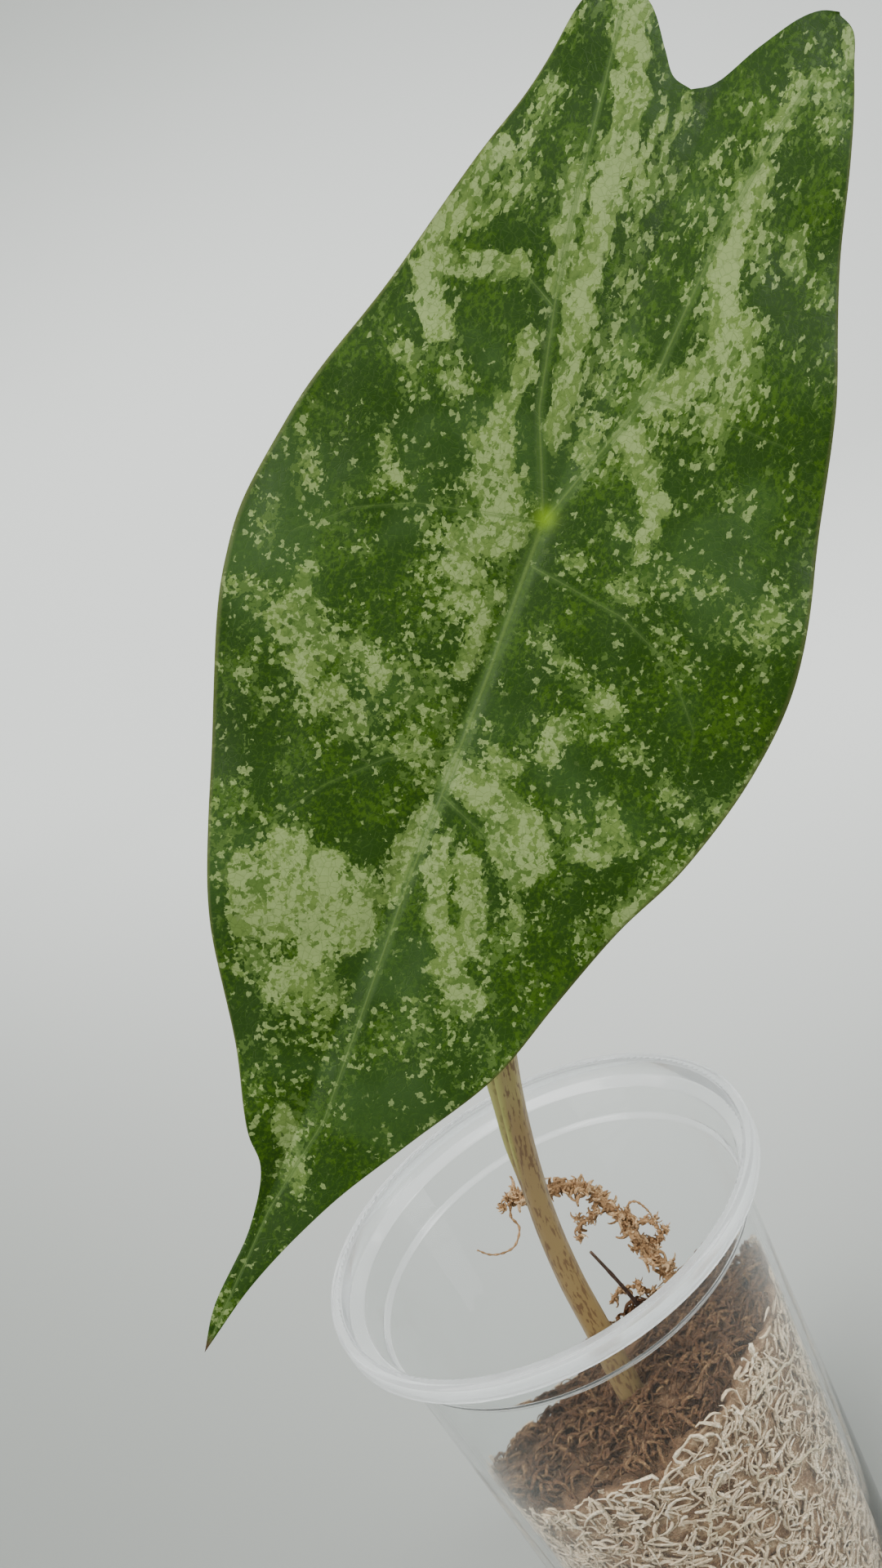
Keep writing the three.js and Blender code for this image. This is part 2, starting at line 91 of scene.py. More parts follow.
def to_run(points: tuple, a: Array, b: Array) -> tuple[Array, Array]:
    """Distance from each place (a, b) to a run of straight pieces.

    Each piece gives the distance to its nearest point, and the least of them counts.

    Args:
        points: Corners of the run.
        a: First coordinates of the places.
        b: Second coordinates of the places.

    Returns:
        The distances, below zero on the right of the run, and how far along the run each nearest
        point lies, from 0 to 1.
    """
    run = np.asarray(points, dtype=float)
    start, way = run[:-1], np.diff(run, axis=0)
    da, db = a[..., None] - start[:, 0], b[..., None] - start[:, 1]
    t = np.clip((da * way[:, 0] + db * way[:, 1]) / (way**2).sum(axis=1), 0, 1)
    gap = np.hypot(da - t * way[:, 0], db - t * way[:, 1])
    best = gap.argmin(axis=-1)[..., None]
    turn = np.take_along_axis(way[:, 0] * db - way[:, 1] * da, best, -1)[..., 0]
    share = (best + np.take_along_axis(t, best, -1))[..., 0] / len(way)
    return gap.min(axis=-1) * np.where(turn < 0, -1, 1), share


def smoothstep(low: float, high: float, x: Array) -> Array:
    """An even rise from 0 at low to 1 at high, level at both ends; low may be the larger one."""
    t = np.clip((np.asarray(x) - low) / (high - low), 0, 1)
    return t * t * (3 - 2 * t)


def bumps(x: Array, y: Array, period: float) -> Array:
    """Soft bumps from -1 to 1: the mean of three sines at odd angles to each other.

    Args:
        x: First coordinates.
        y: Second coordinates.
        period: Length of a bump.

    Returns:
        The height of the bumps at each place.
    """
    k = ROUND / period
    first = np.sin(k * (x + 0.6 * y))
    second = np.sin(k * (1.3 * y - 0.7 * x) + 1.7)
    return (first + second + np.sin(k * (0.4 * x - 1.6 * y) + 4)) / 3


def once_round(count: int) -> Array:
    """Even angles once round."""
    return np.linspace(0, ROUND, count, endpoint=False)


def at_radius(r: Array, angle: Array, z: Array) -> Array:
    """Places given by their distance from the axis, angle and height."""
    return np.stack(np.broadcast_arrays(r * np.cos(angle), r * np.sin(angle), z), axis=-1)


def unit(vectors: Array) -> Array:
    """The vectors, each brought to a length of one."""
    return vectors / np.linalg.norm(vectors, axis=-1, keepdims=True)


def ring_faces(rings: int, sides: int) -> Array:
    """Triangles of a tube of rings that close on themselves, without its ends.

    Args:
        rings: How many rings the tube has.
        sides: Corners of a ring.

    Returns:
        Three corner numbers for each triangle.
    """
    i, j = np.meshgrid(np.arange(rings - 1), np.arange(sides), indexing="ij")
    p, q = i * sides + j, i * sides + (j + 1) % sides
    pairs = (p, q, q + sides), (p, q + sides, p + sides)
    return np.concatenate([np.stack(corners, axis=-1).reshape(-1, 3) for corners in pairs])


def tube_faces(rings: int, sides: int) -> Array:
    """Triangles of a tube of rings, with a fan over each end."""
    fan = np.stack([np.zeros(sides - 2, int), np.arange(1, sides - 1), np.arange(2, sides)], axis=1)
    return np.concatenate([ring_faces(rings, sides), fan[:, ::-1], fan + (rings - 1) * sides])


def outward(points: Array, faces: Array) -> Array:
    """Turns triangles round if they enclose a negative volume.

    Args:
        points: Corners of a closed body.
        faces: Its triangles, all facing out or all facing in.

    Returns:
        The triangles, facing out.
    """
    a, b, c = points[faces[:, 0]], points[faces[:, 1]], points[faces[:, 2]]
    volume = np.einsum("ij,ij->", a, np.cross(b, c))
    return faces[:, ::-1] if volume < 0 else faces


def turned(rows: Array, first: tuple, last: tuple) -> tuple[Array, Array]:
    """A body of rings round the axis, closed to a middle point at each end.

    Args:
        rows: Places of the rings, by ring, corner and coordinate.
        first: Middle point of the first ring.
        last: Middle point of the last ring.

    Returns:
        The points and the triangles.
    """
    rings, around, _ = rows.shape
    points = np.vstack([rows.reshape(-1, 3), [first, last]])
    each, size = np.arange(around), len(points)
    ahead, end = np.roll(each, -1), (rings - 1) * around
    opening = np.stack([np.full(around, size - 2), ahead, each], axis=1)
    ending = np.stack([np.full(around, size - 1), end + each, end + ahead], axis=1)
    return points, outward(points, np.concatenate([ring_faces(rings, around), opening, ending]))


def tubes(paths: Array, radii: Array, sides: int, lean: Array) -> tuple[Array, Array]:
    """Many closed tubes at once.

    Each ring is a circle in the plane across the path: centre + radius * (cos(angle) * n +
    sin(angle) * m), where n is the path's direction crossed with the tube's own lean, and m is
    square to both.

    Args:
        paths: Centres, by tube, ring and coordinate.
        radii: Radii, by tube and ring.
        sides: Corners of a ring.
        lean: A direction for each tube, across its path.

    Returns:
        The points and the triangles.
    """
    count, rings, _ = paths.shape
    along = unit(np.gradient(paths, axis=1))
    n = unit(np.cross(along, lean[:, None, :]))
    m = np.cross(along, n)
    angle = once_round(sides)[:, None]
    circle = np.cos(angle) * n[:, :, None, :] + np.sin(angle) * m[:, :, None, :]
    points = (paths[:, :, None, :] + radii[:, :, None, None] * circle).reshape(-1, 3)
    starts = np.arange(count)[:, None, None] * rings * sides
    return points, outward(points, (starts + tube_faces(rings, sides)).reshape(-1, 3))


class Draws:
    """Seeded random numbers, in columns with a row for each strand."""

    def __init__(self, seed: int, count: int) -> None:
        """Starts the draws for a number of strands."""
        self.rng, self.count = np.random.default_rng(seed), count

    def even(self, low: float, high: float) -> Array:
        """Numbers spread evenly from low to high."""
        return self.rng.uniform(low, high, (self.count, 1))

    def near(self, spread: float) -> Array:
        """Numbers that crowd round zero."""
        return self.rng.normal(0, spread, (self.count, 1))

    def ways(self) -> Array:
        """Directions of every kind."""
        return self.rng.normal(size=(self.count, 3))


def wander(heading: Array, reach: Array) -> list[Array]:
    """Places along strands that turn as they go: the running sums of cos and sin of the heading."""
    rings = heading.shape[1]
    return [np.cumsum(way, axis=1) * reach / rings for way in (np.cos(heading), np.sin(heading))]


def piece(
    name: str,
    points: Array,
    faces: Array,
    finish: Material,
    values: dict[str, Array] | None = None,
    uv: Array | None = None,
) -> bpy.types.Object:
    """A mesh object at the origin, with its place in its mesh.

    Args:
        name: The piece's name.
        points: Its corners, in millimetres.
        faces: Its triangles.
        finish: Its material.
        values: Numbers that the material reads by name: one for each corner, or one for each
            even share of the corners.
        uv: Pattern coordinates at the corners.

    Returns:
        The object, riding on the part's body.
    """
    mesh = bpy.data.meshes.new(name)
    mesh.vertices.add(len(points))
    mesh.vertices.foreach_set("co", (points * MM).astype(np.float32).ravel())
    mesh.loops.add(faces.size)
    mesh.loops.foreach_set("vertex_index", np.ascontiguousarray(faces, dtype=np.int32).ravel())
    mesh.polygons.add(len(faces))
    mesh.polygons.foreach_set("loop_start", np.arange(0, faces.size, 3, dtype=np.int32))
    mesh.update(calc_edges=True)
    if uv is not None:
        layer = mesh.uv_layers.new(name="surface")
        layer.data.foreach_set("uv", uv[faces.ravel()].astype(np.float32).ravel())
    for key, numbers in (values or {}).items():
        layer = mesh.attributes.new(key, "FLOAT", "POINT")
        numbers = np.repeat(np.float32(numbers).ravel(), len(points) // np.size(numbers))
        layer.data.foreach_set("value", numbers)
    mesh.validate()
    mesh.shade_smooth()
    mesh.materials.append(finish)
    made = bpy.data.objects.new(name, mesh)
    bpy.context.scene.collection.objects.link(made)
    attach(made, "root")
    log.info("%s: %d triangles", name, len(faces))
    return made


# Materials


def linear(red: int, green: int, blue: int) -> tuple[float, float, float, float]:
    """A colour given as 0 to 255 on screen, as the linear numbers that a shader takes."""
    parts = (c / 255 for c in (red, green, blue))
    return *(p / 12.92 if p <= 0.04045 else ((p + 0.055) / 1.055) ** 2.4 for p in parts), 1.0


class Graph:
    """Short ways to add and join the nodes of one material or node group."""

    def __init__(self, tree: bpy.types.NodeTree) -> None:
        """Starts with an existing node tree."""
        self.tree = tree

    def add(self, kind: str, inputs: dict | None = None, **settings) -> bpy.types.Node:
        """Adds a node.

        Args:
            kind: Blender's name of the node type; ShaderNode goes before it, but for group ends.
            inputs: Value or socket for each named or numbered input.
            settings: Properties of the node.

        Returns:
            The node.
        """
        node = self.tree.nodes.new(kind if kind.startswith("NodeGroup") else "ShaderNode" + kind)
        for key, value in settings.items():
            setattr(node, key, value)
        for key, value in (inputs or {}).items():
            if isinstance(value, Socket):
                self.tree.links.new(value, node.inputs[key])
            else:
                node.inputs[key].default_value = value
        return node

    def attribute(self, name: str) -> Socket:
        """The numbers that a piece carries under that name."""
        return self.add("Attribute", attribute_name=name).outputs["Fac"]

    def surface(self) -> Socket:
        """The piece's own pattern coordinates."""
        return self.add("UVMap", uv_map="surface").outputs[0]

    def space(self) -> Socket:
        """Places in the piece's own space."""
        return self.add("TexCoord").outputs["Object"]

    def math(self, operation: str, *values) -> Socket:
        """One step of arithmetic on numbers or sockets."""
        return self.add("Math", dict(enumerate(values)), operation=operation).outputs[0]

    def weigh(self, first, share: float, second, rest: float) -> Socket:
        """The sum of two values, each times its share."""
        return self.math("MULTIPLY_ADD", first, share, self.math("MULTIPLY", second, rest))

    def move(self, operation: str, vector, by) -> Socket:
        """One step of arithmetic on coordinates."""
        return self.add("VectorMath", {0: vector, 1: by}, operation=operation).outputs[0]

    def span(self, value, low: float, high: float, start: float = 0.0, end: float = 1.0) -> Socket:
        """The value carried smoothly from low..high to start..end, and held there outside."""
        inputs = {"Value": value, "From Min": low, "From Max": high, "To Min": start, "To Max": end}
        return self.add("MapRange", inputs, interpolation_type="SMOOTHSTEP").outputs["Result"]

    def blend(self, share, under, over) -> Socket:
        """One colour over another, by share."""
        return self.add("Mix", {0: share, 6: under, 7: over}, data_type="RGBA").outputs[2]

    def layers(self, skin: Socket, rows: tuple) -> Socket:
        """Lays colours over a skin in turn.

        Args:
            skin: The lowest colour.
            rows: A mask, its strength and its colour for each layer.

        Returns:
            The colour on top.
        """
        for mask, strength, colour in rows:
            skin = self.blend(self.math("MULTIPLY", mask, strength), skin, colour)
        return skin

    def place(self, source: Socket, scale: tuple, turn: float = 0.0) -> Socket:
        """Coordinates stretched by scale and turned about Z."""
        inputs = {"Vector": source, "Scale": scale, "Rotation": (0, 0, turn)}
        return self.add("Mapping", inputs).outputs[0]

    def cloud(self, vector, scale: float, detail: float, rough: float = 0.5) -> Sockets:
        """Outputs of plain cloudy noise."""
        inputs = {"Vector": vector, "Scale": scale, "Detail": detail, "Roughness": rough}
        return self.add("TexNoise", inputs).outputs

    def noise(self, vector, scale: float, detail: float = 3.0, rough: float = 0.55) -> Socket:
        """Cloudy noise, spread to fill 0 to 1."""
        return self.span(self.cloud(vector, scale, detail, rough)[0], 0.3, 0.7)

    def cells(self, vector, scale, **settings) -> Sockets:
        """Outputs of a pattern of cells, each with its own chance colour."""
        return self.add("TexVoronoi", {"Vector": vector, "Scale": scale}, **settings).outputs

    def shader(self, **inputs) -> Socket:
        """A Principled shader with these inputs; an underscore stands for a space in a name."""
        inputs = {key.replace("_", " "): value for key, value in inputs.items()}
        return self.add("BsdfPrincipled", inputs).outputs[0]

    def bump(self, height, strength: float, distance: float) -> Socket:
        """A normal bent by a height."""
        inputs = {"Height": height, "Strength": strength, "Distance": distance}
        return self.add("Bump", inputs).outputs[0]

    def finish(self, shader: Socket) -> None:
        """Joins a shader to the material's output."""
        self.add("OutputMaterial", {"Surface": shader})


def material(name: str) -> tuple[Material, Graph]:
    """Starts a material.

    Args:
        name: Its name.

    Returns:
        The empty material and the graph to fill it with.
    """
    made = bpy.data.materials.new(name)
    made.use_nodes = True
    made.node_tree.nodes.clear()
    return made, Graph(made.node_tree)


def speckle_group() -> bpy.types.NodeTree:
    """A node group that breaks a density into ragged flecks.

    Each place takes the mean of three draws: one for each blocky cell, one for each small cell,
    and a cloud. Mask shows a fleck where that mean plus the density passes one. Salt picks single
    small cells, more of them where the density is high, and Pepper picks other single cells
    everywhere.

    Returns:
        The group.
    """
    block_share, cell_share, cloud_share = 0.2, 0.48, 0.32
    tree = bpy.data.node_groups.new("ragged flecks", "ShaderNodeTree")
    for name in ("Vector", "Density", "Cell Scale", "Cloud Scale"):
        kind = "NodeSocketVector" if name == "Vector" else "NodeSocketFloat"
        tree.interface.new_socket(name, in_out="INPUT", socket_type=kind)
    for name in ("Mask", "Salt", "Pepper"):
        tree.interface.new_socket(name, in_out="OUTPUT", socket_type="NodeSocketFloat")
    g = Graph(tree)
    given = g.add("NodeGroupInput").outputs
    density, small = given["Density"], given["Cell Scale"]
    wobble = g.move("SUBTRACT", g.cloud(given["Vector"], 90.0, 2.0)["Color"], (0.5, 0.5, 0.5))
    shift = g.move("MULTIPLY", wobble, (0.018, 0.018, 0.018))
    moved = g.move("ADD", given["Vector"], shift)
    block = g.cells(moved, g.math("MULTIPLY", small, 0.42), distance="CHEBYCHEV")["Color"]
    cell = g.cells(moved, small)["Color"]
    first = g.add("SeparateColor", {0: block}).outputs[0]
    second, third, _ = g.add("SeparateColor", {0: cell}).outputs
    cloud = g.span(g.cloud(moved, given["Cloud Scale"], 3.0)[0], 0.32, 0.68)
    total = g.weigh(first, block_share, second, cell_share)
    total = g.math("MULTIPLY_ADD", cloud, cloud_share, total)
    salt = g.math("MULTIPLY_ADD", g.math("MINIMUM", density, 0.55), 0.5, second)
    salt = g.math("MULTIPLY_ADD", cloud, 0.14, salt)
    g.add("NodeGroupOutput", {
        "Mask": g.span(g.math("ADD", total, density), 0.985, 1.015),
        "Salt": g.span(salt, 1.045, 1.07),
        "Pepper": g.span(third, 0.88, 0.91),
    })
    return tree


@dataclass(frozen=True)
class FleckLayer:
    """A layer of flecks: what sets it apart, how it follows the density, and its cell sizes."""

    shift: float
    gain: float
    start: float
    cell_scale: float
    cloud_scale: float


@dataclass(frozen=True)
class LeafFinish:
    """Variegated leaf skin: dark green under three paler tones that break into flecks."""

    deep: tuple = linear(28, 54, 1)
    fresh: tuple = linear(50, 78, 8)
    # painted sheen: a greyer green that stands for the blade's soft bluish shine
    dusky: tuple = linear(46, 72, 28)
    sage: tuple = linear(70, 94, 38)
    pale: tuple = linear(90, 112, 52)
    cream: tuple = linear(124, 142, 86)
    vein: tuple = linear(68, 92, 44)
    ridge: tuple = linear(94, 116, 52)
    hub: tuple = linear(104, 136, 16)
    rim: tuple = linear(86, 92, 46)
    brown: tuple = linear(70, 50, 32)
    under: tuple = linear(104, 124, 78)
    roughness: float = 0.48
    vein_count: int = 9
    sage_flecks: FleckLayer = FleckLayer(3.1, 0.6, 0.2, 110.0, 24.0)
    main_flecks: FleckLayer = FleckLayer(0.0, 0.9, 0.03, 98.0, 18.0)
    cream_flecks: FleckLayer = FleckLayer(7.7, 0.52, -0.14, 70.0, 10.0)

    def make(self, flecks: bpy.types.NodeTree) -> Material:
        """Builds the material.

        Args:
            flecks: The group that breaks a density into flecks.

        Returns:
            The material.
        """
        made, g = material("variegated leaf")
        uv = g.surface()
        drawn = g.add("CombineXYZ", {0: g.attribute("along"), 1: g.attribute("across")}).outputs[0]
        scatter = g.span(g.noise(uv, 3.0), 0.4, 0.85, 0.0, 0.36)
        density = g.math("ADD", g.attribute("cream"), scatter)

        def flecked(layer: FleckLayer) -> Sockets:
            """Masks of flecks that thicken with the density."""
            inputs = {
                "Vector": g.move("ADD", drawn, (layer.shift, layer.shift, 0)),
                "Density": g.math("MULTIPLY_ADD", density, layer.gain, layer.start),
                "Cell Scale": layer.cell_scale,
                "Cloud Scale": layer.cloud_scale,
            }
            return g.add("Group", inputs, node_tree=flecks).outputs

        fine = g.weigh(g.noise(drawn, 80.0, 3.0, 0.7), 0.6, g.noise(uv, 6.0), 0.4)
        green = g.blend(g.span(fine, 0.4, 0.8), self.deep, self.fresh)
        # Broad grey-green patches of painted sheen, laid over the green by large cloudy noise.
        dusk = g.span(g.noise(g.place(uv, (1, 1, 1), 1.0), 2.6), 0.5, 1.0, 0.0, 0.7)
        green = g.blend(dusk, green, self.dusky)
        patch = g.weigh(g.noise(drawn, 11.0), 0.65, g.noise(drawn, 95.0), 0.35)
        pale = g.blend(g.span(patch, 0.25, 0.6), self.sage, self.pale)
        main = flecked(self.main_flecks)
        net = g.cells(uv, 62.0, feature="DISTANCE_TO_EDGE")["Distance"]
        mesh_lines = g.span(net, 0.0, 0.06, 1.0, 0.0)
        away = g.math("ABSOLUTE", g.attribute("vein 0"))
        for number in range(1, self.vein_count):
            away = g.math("MINIMUM", away, g.math("ABSOLUTE", g.attribute(f"vein {number}")))
        shows = g.attribute("shows")
        band = g.math("MULTIPLY", g.span(away, 0.2, 1.1, 0.6, 0.0), shows)
        # Painted shade: a thin darker green line at each side of a vein, for the shade in the
        # crease beside it.
        beside = g.math("ABSOLUTE", g.math("SUBTRACT", away, 0.42))
        ridge = g.math("MULTIPLY", g.span(away, 0.02, 0.24, 0.5, 0.0), shows)
        skin = g.layers(green, (
            (flecked(self.sage_flecks)["Mask"], 0.75, self.sage),
            (main["Mask"], 1.0, pale),
            (flecked(self.cream_flecks)["Mask"], 0.9, self.cream),
            (main["Salt"], 0.7, self.cream),
            (main["Pepper"], g.span(density, 0.85, 1.15, 0.85, 0.2), green),
            (mesh_lines, 0.35, self.fresh),
            (band, 1.0, self.vein),
            # painted crease shade beside the veins
            (g.span(beside, 0.0, 0.14, 0.5, 0.0), shows, self.fresh),
            (ridge, 1.0, self.ridge),
            (g.attribute("hub"), 0.9, self.hub),
            (g.attribute("rim"), 0.7, self.rim),
            (g.attribute("tip"), 1.0, self.brown),
            (g.attribute("under"), 0.6, self.under),
        ))
        height = g.weigh(g.noise(uv, 30.0), 0.5, mesh_lines, -0.5)
        height = g.math("MULTIPLY_ADD", g.math("SUBTRACT", ridge, band), 1.5, height)
        sheen = g.span(g.noise(uv, 22.0), 0.0, 1.0, self.roughness - 0.05, self.roughness + 0.1)
        g.finish(g.shader(Base_Color=skin, Roughness=sheen, Specular_IOR_Level=0.14,
                          Normal=g.bump(height, 0.25, 0.0004)))
        return made


@dataclass(frozen=True)
class StalkFinish:
    """Mottled stalk: olive tan with brown dashes along it, and pale yellow-green margins."""

    ground: tuple = linear(140, 127, 80)
    green: tuple = linear(122, 124, 64)
    earthy: tuple = linear(120, 92, 60)
    fleck: tuple = linear(92, 68, 46)
    wing: tuple = linear(164, 166, 92)
    roughness: float = 0.42

    def make(self) -> Material:
        """Builds the material.

        Returns:
            The material.
        """
        made, g = material("mottled stalk")
        uv, height = g.surface(), g.attribute("height")
        small = g.noise(g.place(uv, (1.0, 0.16, 1.0)), 190.0, 2.0)
        broad = g.noise(g.place(uv, (1.0, 0.3, 1.0)), 34.0, 3.0)
        skin = g.layers(g.blend(height, self.ground, self.green), (
            (g.span(height, 0.0, 0.03, 0.6, 0.0), 1.0, self.earthy),
            (g.span(g.weigh(broad, 0.35, small, 0.65), 0.6, 0.7), 0.85, self.fleck),
            (g.attribute("wing"), 1.0, self.wing),
        ))
        grain = g.noise(g.place(uv, (1.0, 0.12, 1.0)), 120.0)
        g.finish(g.shader(Base_Color=skin, Roughness=self.roughness, Specular_IOR_Level=0.45,
                          Normal=g.bump(grain, 0.25, 0.0003)))
        return made


class MossTone(Enum):
    """Ranges of plant fibre colour, each from dark to pale. The top tan is darkened as painted
    shade, and the wall's pale range is brightened partly as painted light.
    """

    BED = ((58, 40, 27), (120, 90, 64), (190, 162, 126))
    # Darker than the moss's own colour: painted shade on the strands over the top of the bed.
    TAN = ((48, 30, 19), (96, 66, 43), (160, 127, 88))
    SPRIG = ((118, 88, 60), (186, 148, 106), (228, 200, 160))
    # Partly the moss's own cream, partly painted light: the near-white end stands for strong light
    # through the wall.
    PALE = ((134, 108, 80), (236, 212, 178), (254, 246, 226))
    ROOT = ((178, 156, 120), (206, 188, 152), (228, 216, 188))
    TWIG = ((40, 30, 26), (74, 56, 46), (104, 84, 70))


@dataclass(frozen=True)
class FibreFinish:
    """Dry plant fibre: a colour that changes from strand to strand, and a matte, hairy surface."""

    tone: MossTone
    roughness: float = 0.9

    def make(self) -> Material:
        """Builds the material.

        Returns:
            The material.
        """
        made, g = material(f"fibre {self.tone.name.lower()}")
        place = g.space()
        vein = g.math("ABSOLUTE", g.math("SUBTRACT", g.noise(place, 420.0, 1.0), 0.5))
        strand = g.span(vein, 0.0, 0.22, 1.0, 0.0)
        mix = g.weigh(g.attribute("tone"), 0.6, g.noise(place, 260.0, 4.0), 0.2)
        mix = g.math("MULTIPLY_ADD", strand, 0.22, mix)
        dark, middle, pale = (linear(*colour) for colour in self.tone.value)
        skin = g.blend(g.span(mix, 0.45, 1.0), g.blend(g.span(mix, 0.0, 0.5), dark, middle), pale)
        height = g.math("ADD", g.noise(place, 1400.0, 2.0), strand)
        g.finish(g.shader(Base_Color=skin, Roughness=self.roughness, Specular_IOR_Level=0.25,
                          Normal=g.bump(height, 0.6, 0.0006)))
        return made


@dataclass(frozen=True)
class ClearPlastic:
    """Thin clear plastic with faint flow marks; light passes straight through its shadow."""

    name: str = "clear plastic"
    tint: tuple = linear(248, 250, 250)
    shadow: tuple = (0.93, 0.94, 0.94, 1.0)
    roughness: float = 0.04
    clearness: float = 1.0
    ior: float = 1.18

    def make(self) -> Material:
        """Builds the material.

        Returns:
            The material.
        """
        made, g = material(self.name)
        flow = g.noise(g.place(g.space(), (1.0, 1.0, 0.25)), 60.0, 2.0)
        body = g.shader(Base_Color=self.tint, Roughness=self.roughness, IOR=self.ior,
                        Transmission_Weight=self.clearness, Normal=g.bump(flow, 0.12, 0.0006))
        clear = g.add("BsdfTransparent", {"Color": self.shadow}).outputs[0]
        ray = g.add("LightPath").outputs["Is Shadow Ray"]
        g.finish(g.add("MixShader", {0: ray, 1: body, 2: clear}).outputs[0])
        return made


@dataclass(frozen=True)
class StudioFinish:
    """Plain matte floor and backdrop, darker near the front left and high up: the darkening is
    painted shade and painted falloff of the light.
    """

    # painted shade: the dark end of the floor and backdrop colour
    near: tuple = linear(139, 143, 138)
    far: tuple = linear(240, 243, 239)

    def make(self) -> Material:
        """Builds the material.

        Returns:
            The material.
        """
        made, g = material("studio paper")
        split = g.add("SeparateXYZ", {0: g.space()}).outputs
        reach = g.math("MULTIPLY_ADD", split["X"], 1.2, split["Y"])
        # Darker towards the front left and high up, as painted shade and painted falloff of the
        # light.
        paint = g.blend(g.span(reach, -0.4, 1.1), self.near, self.far)
        paint = g.blend(g.span(split["Z"], 0.35, 1.4, 0.0, 0.8), paint, self.near)
        g.finish(g.shader(Base_Color=paint, Roughness=0.95, Specular_IOR_Level=0.1))
        return made


# The cup


@dataclass
class Cup:
    """A tapered tub with two stacking ledges under a rolled rim, turned about its axis."""

    height: float = 142.0
    wall: float = 0.9
    foot_radius: float = 42.2
    foot_flare: float = 0.6
    body_bottom: float = 1.4
    body_top_radius: float = 50.0
    body_top: float = 125.2
    collar_foot_radius: float = 51.4
    collar_radius: float = 52.6
    collar_top: float = 134.4
    neck_radius: float = 56.4
    rim_radius: float = 58.5
    skirt: float = 137.3
    around: int = 160
    crease: float = 50.0

    def inner_radius(self, z: Array) -> Array:
        """Radius of the inner wall of the tapered body, which widens evenly upwards.

        Args:
            z: Heights.

        Returns:
            The radius at each height.
        """
        share = (np.asarray(z) - self.body_bottom) / (self.body_top - self.body_bottom)
        foot = self.foot_radius + self.foot_flare
        return foot + share * (self.body_top_radius - foot) - self.wall

    def outline(self) -> Array:
        """The closed outline: out along the base, up, over the rim and down the inside.

        Returns:
            Radius and height of each corner.
        """
        foot, top, step, collar, neck, rim = (
            self.foot_radius, self.body_top_radius, self.collar_foot_radius, self.collar_radius,
            self.neck_radius, self.rim_radius)
        wall, ledge, lip, high = self.wall, self.body_top, self.collar_top, self.height
        return np.array([
            [0.001, 0], [foot - 2.4, 0], [foot - 0.7, 0.05], [foot + 0.25, 0.5],
            [foot + self.foot_flare, self.body_bottom], [top, ledge], [top + 0.35, ledge + 0.5],
            [step - 0.4, ledge + 0.9], [step - 0.1, ledge + 1.4], [collar, lip],
            [collar + 0.3, lip + 0.35], [neck - 0.5, lip + 1.1], [neck - 0.1, lip + 1.6],
            [neck, high - 1.8], [rim - 1.1, high - 1.7], [rim - 0.75, high - 2.1],
            [rim - 0.7, self.skirt], [rim, self.skirt], [rim, high - 1], [rim - 0.3, high - 0.3],
            [rim - 1, high], [neck - 0.2, high], [neck - 0.75, high - 0.3],
            [neck - wall, high - 1.2], [neck - wall - 0.1, lip + 2.2],
            [neck - wall - 0.5, lip + 1.8], [collar - wall + 0.3, lip + 1],
            [collar - wall, lip + 0.5], [step - wall, ledge + 2.2],
            [step - wall - 0.4, ledge + 1.6], [top - wall + 0.2, ledge + 0.9],
            [top - wall, ledge + 0.4], [foot - 0.3, wall + 1.6], [foot - 0.8, wall + 0.5],
            [foot - 2.4, wall], [0.001, wall],
        ])

    def build(self) -> None:
        """Carries the outline round, and gives the ledges and the rim a hazy white finish: partly
        the rim's own haze, partly painted highlights.
        """
        r, z = self.outline().T[..., None]
        rows = at_radius(r, once_round(self.around), z)
        points, faces = turned(rows, (0, 0, 0), (0, 0, self.wall))
        made = piece("clear_cup", points, faces, ClearPlastic().make())
        made.data.set_sharp_from_angle(angle=math.radians(self.crease))
        # This finish is partly real haze and partly painted highlight: its white scatter draws the
        # bright bands that are reflections on the ledges and the rim.
        rim = ClearPlastic("milky rim", roughness=0.14, clearness=0.8, ior=1.42)
        made.data.materials.append(rim.make())
        x, y, z = points[faces].mean(axis=1).T
        ledge = (z > self.body_top - 0.1) & (z < self.body_top + 1.5)
        step = (z > self.collar_top) & (z < self.collar_top + 2)
        # Faces that take the hazy finish: the rim's haze and the ledges' painted highlights.
        milky = ledge | step | ((z > self.skirt - 1) & (np.hypot(x, y) > self.neck_radius - 0.4))
        made.data.polygons.foreach_set("material_index", milky.astype(np.int32))
        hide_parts("cup")


# The moss


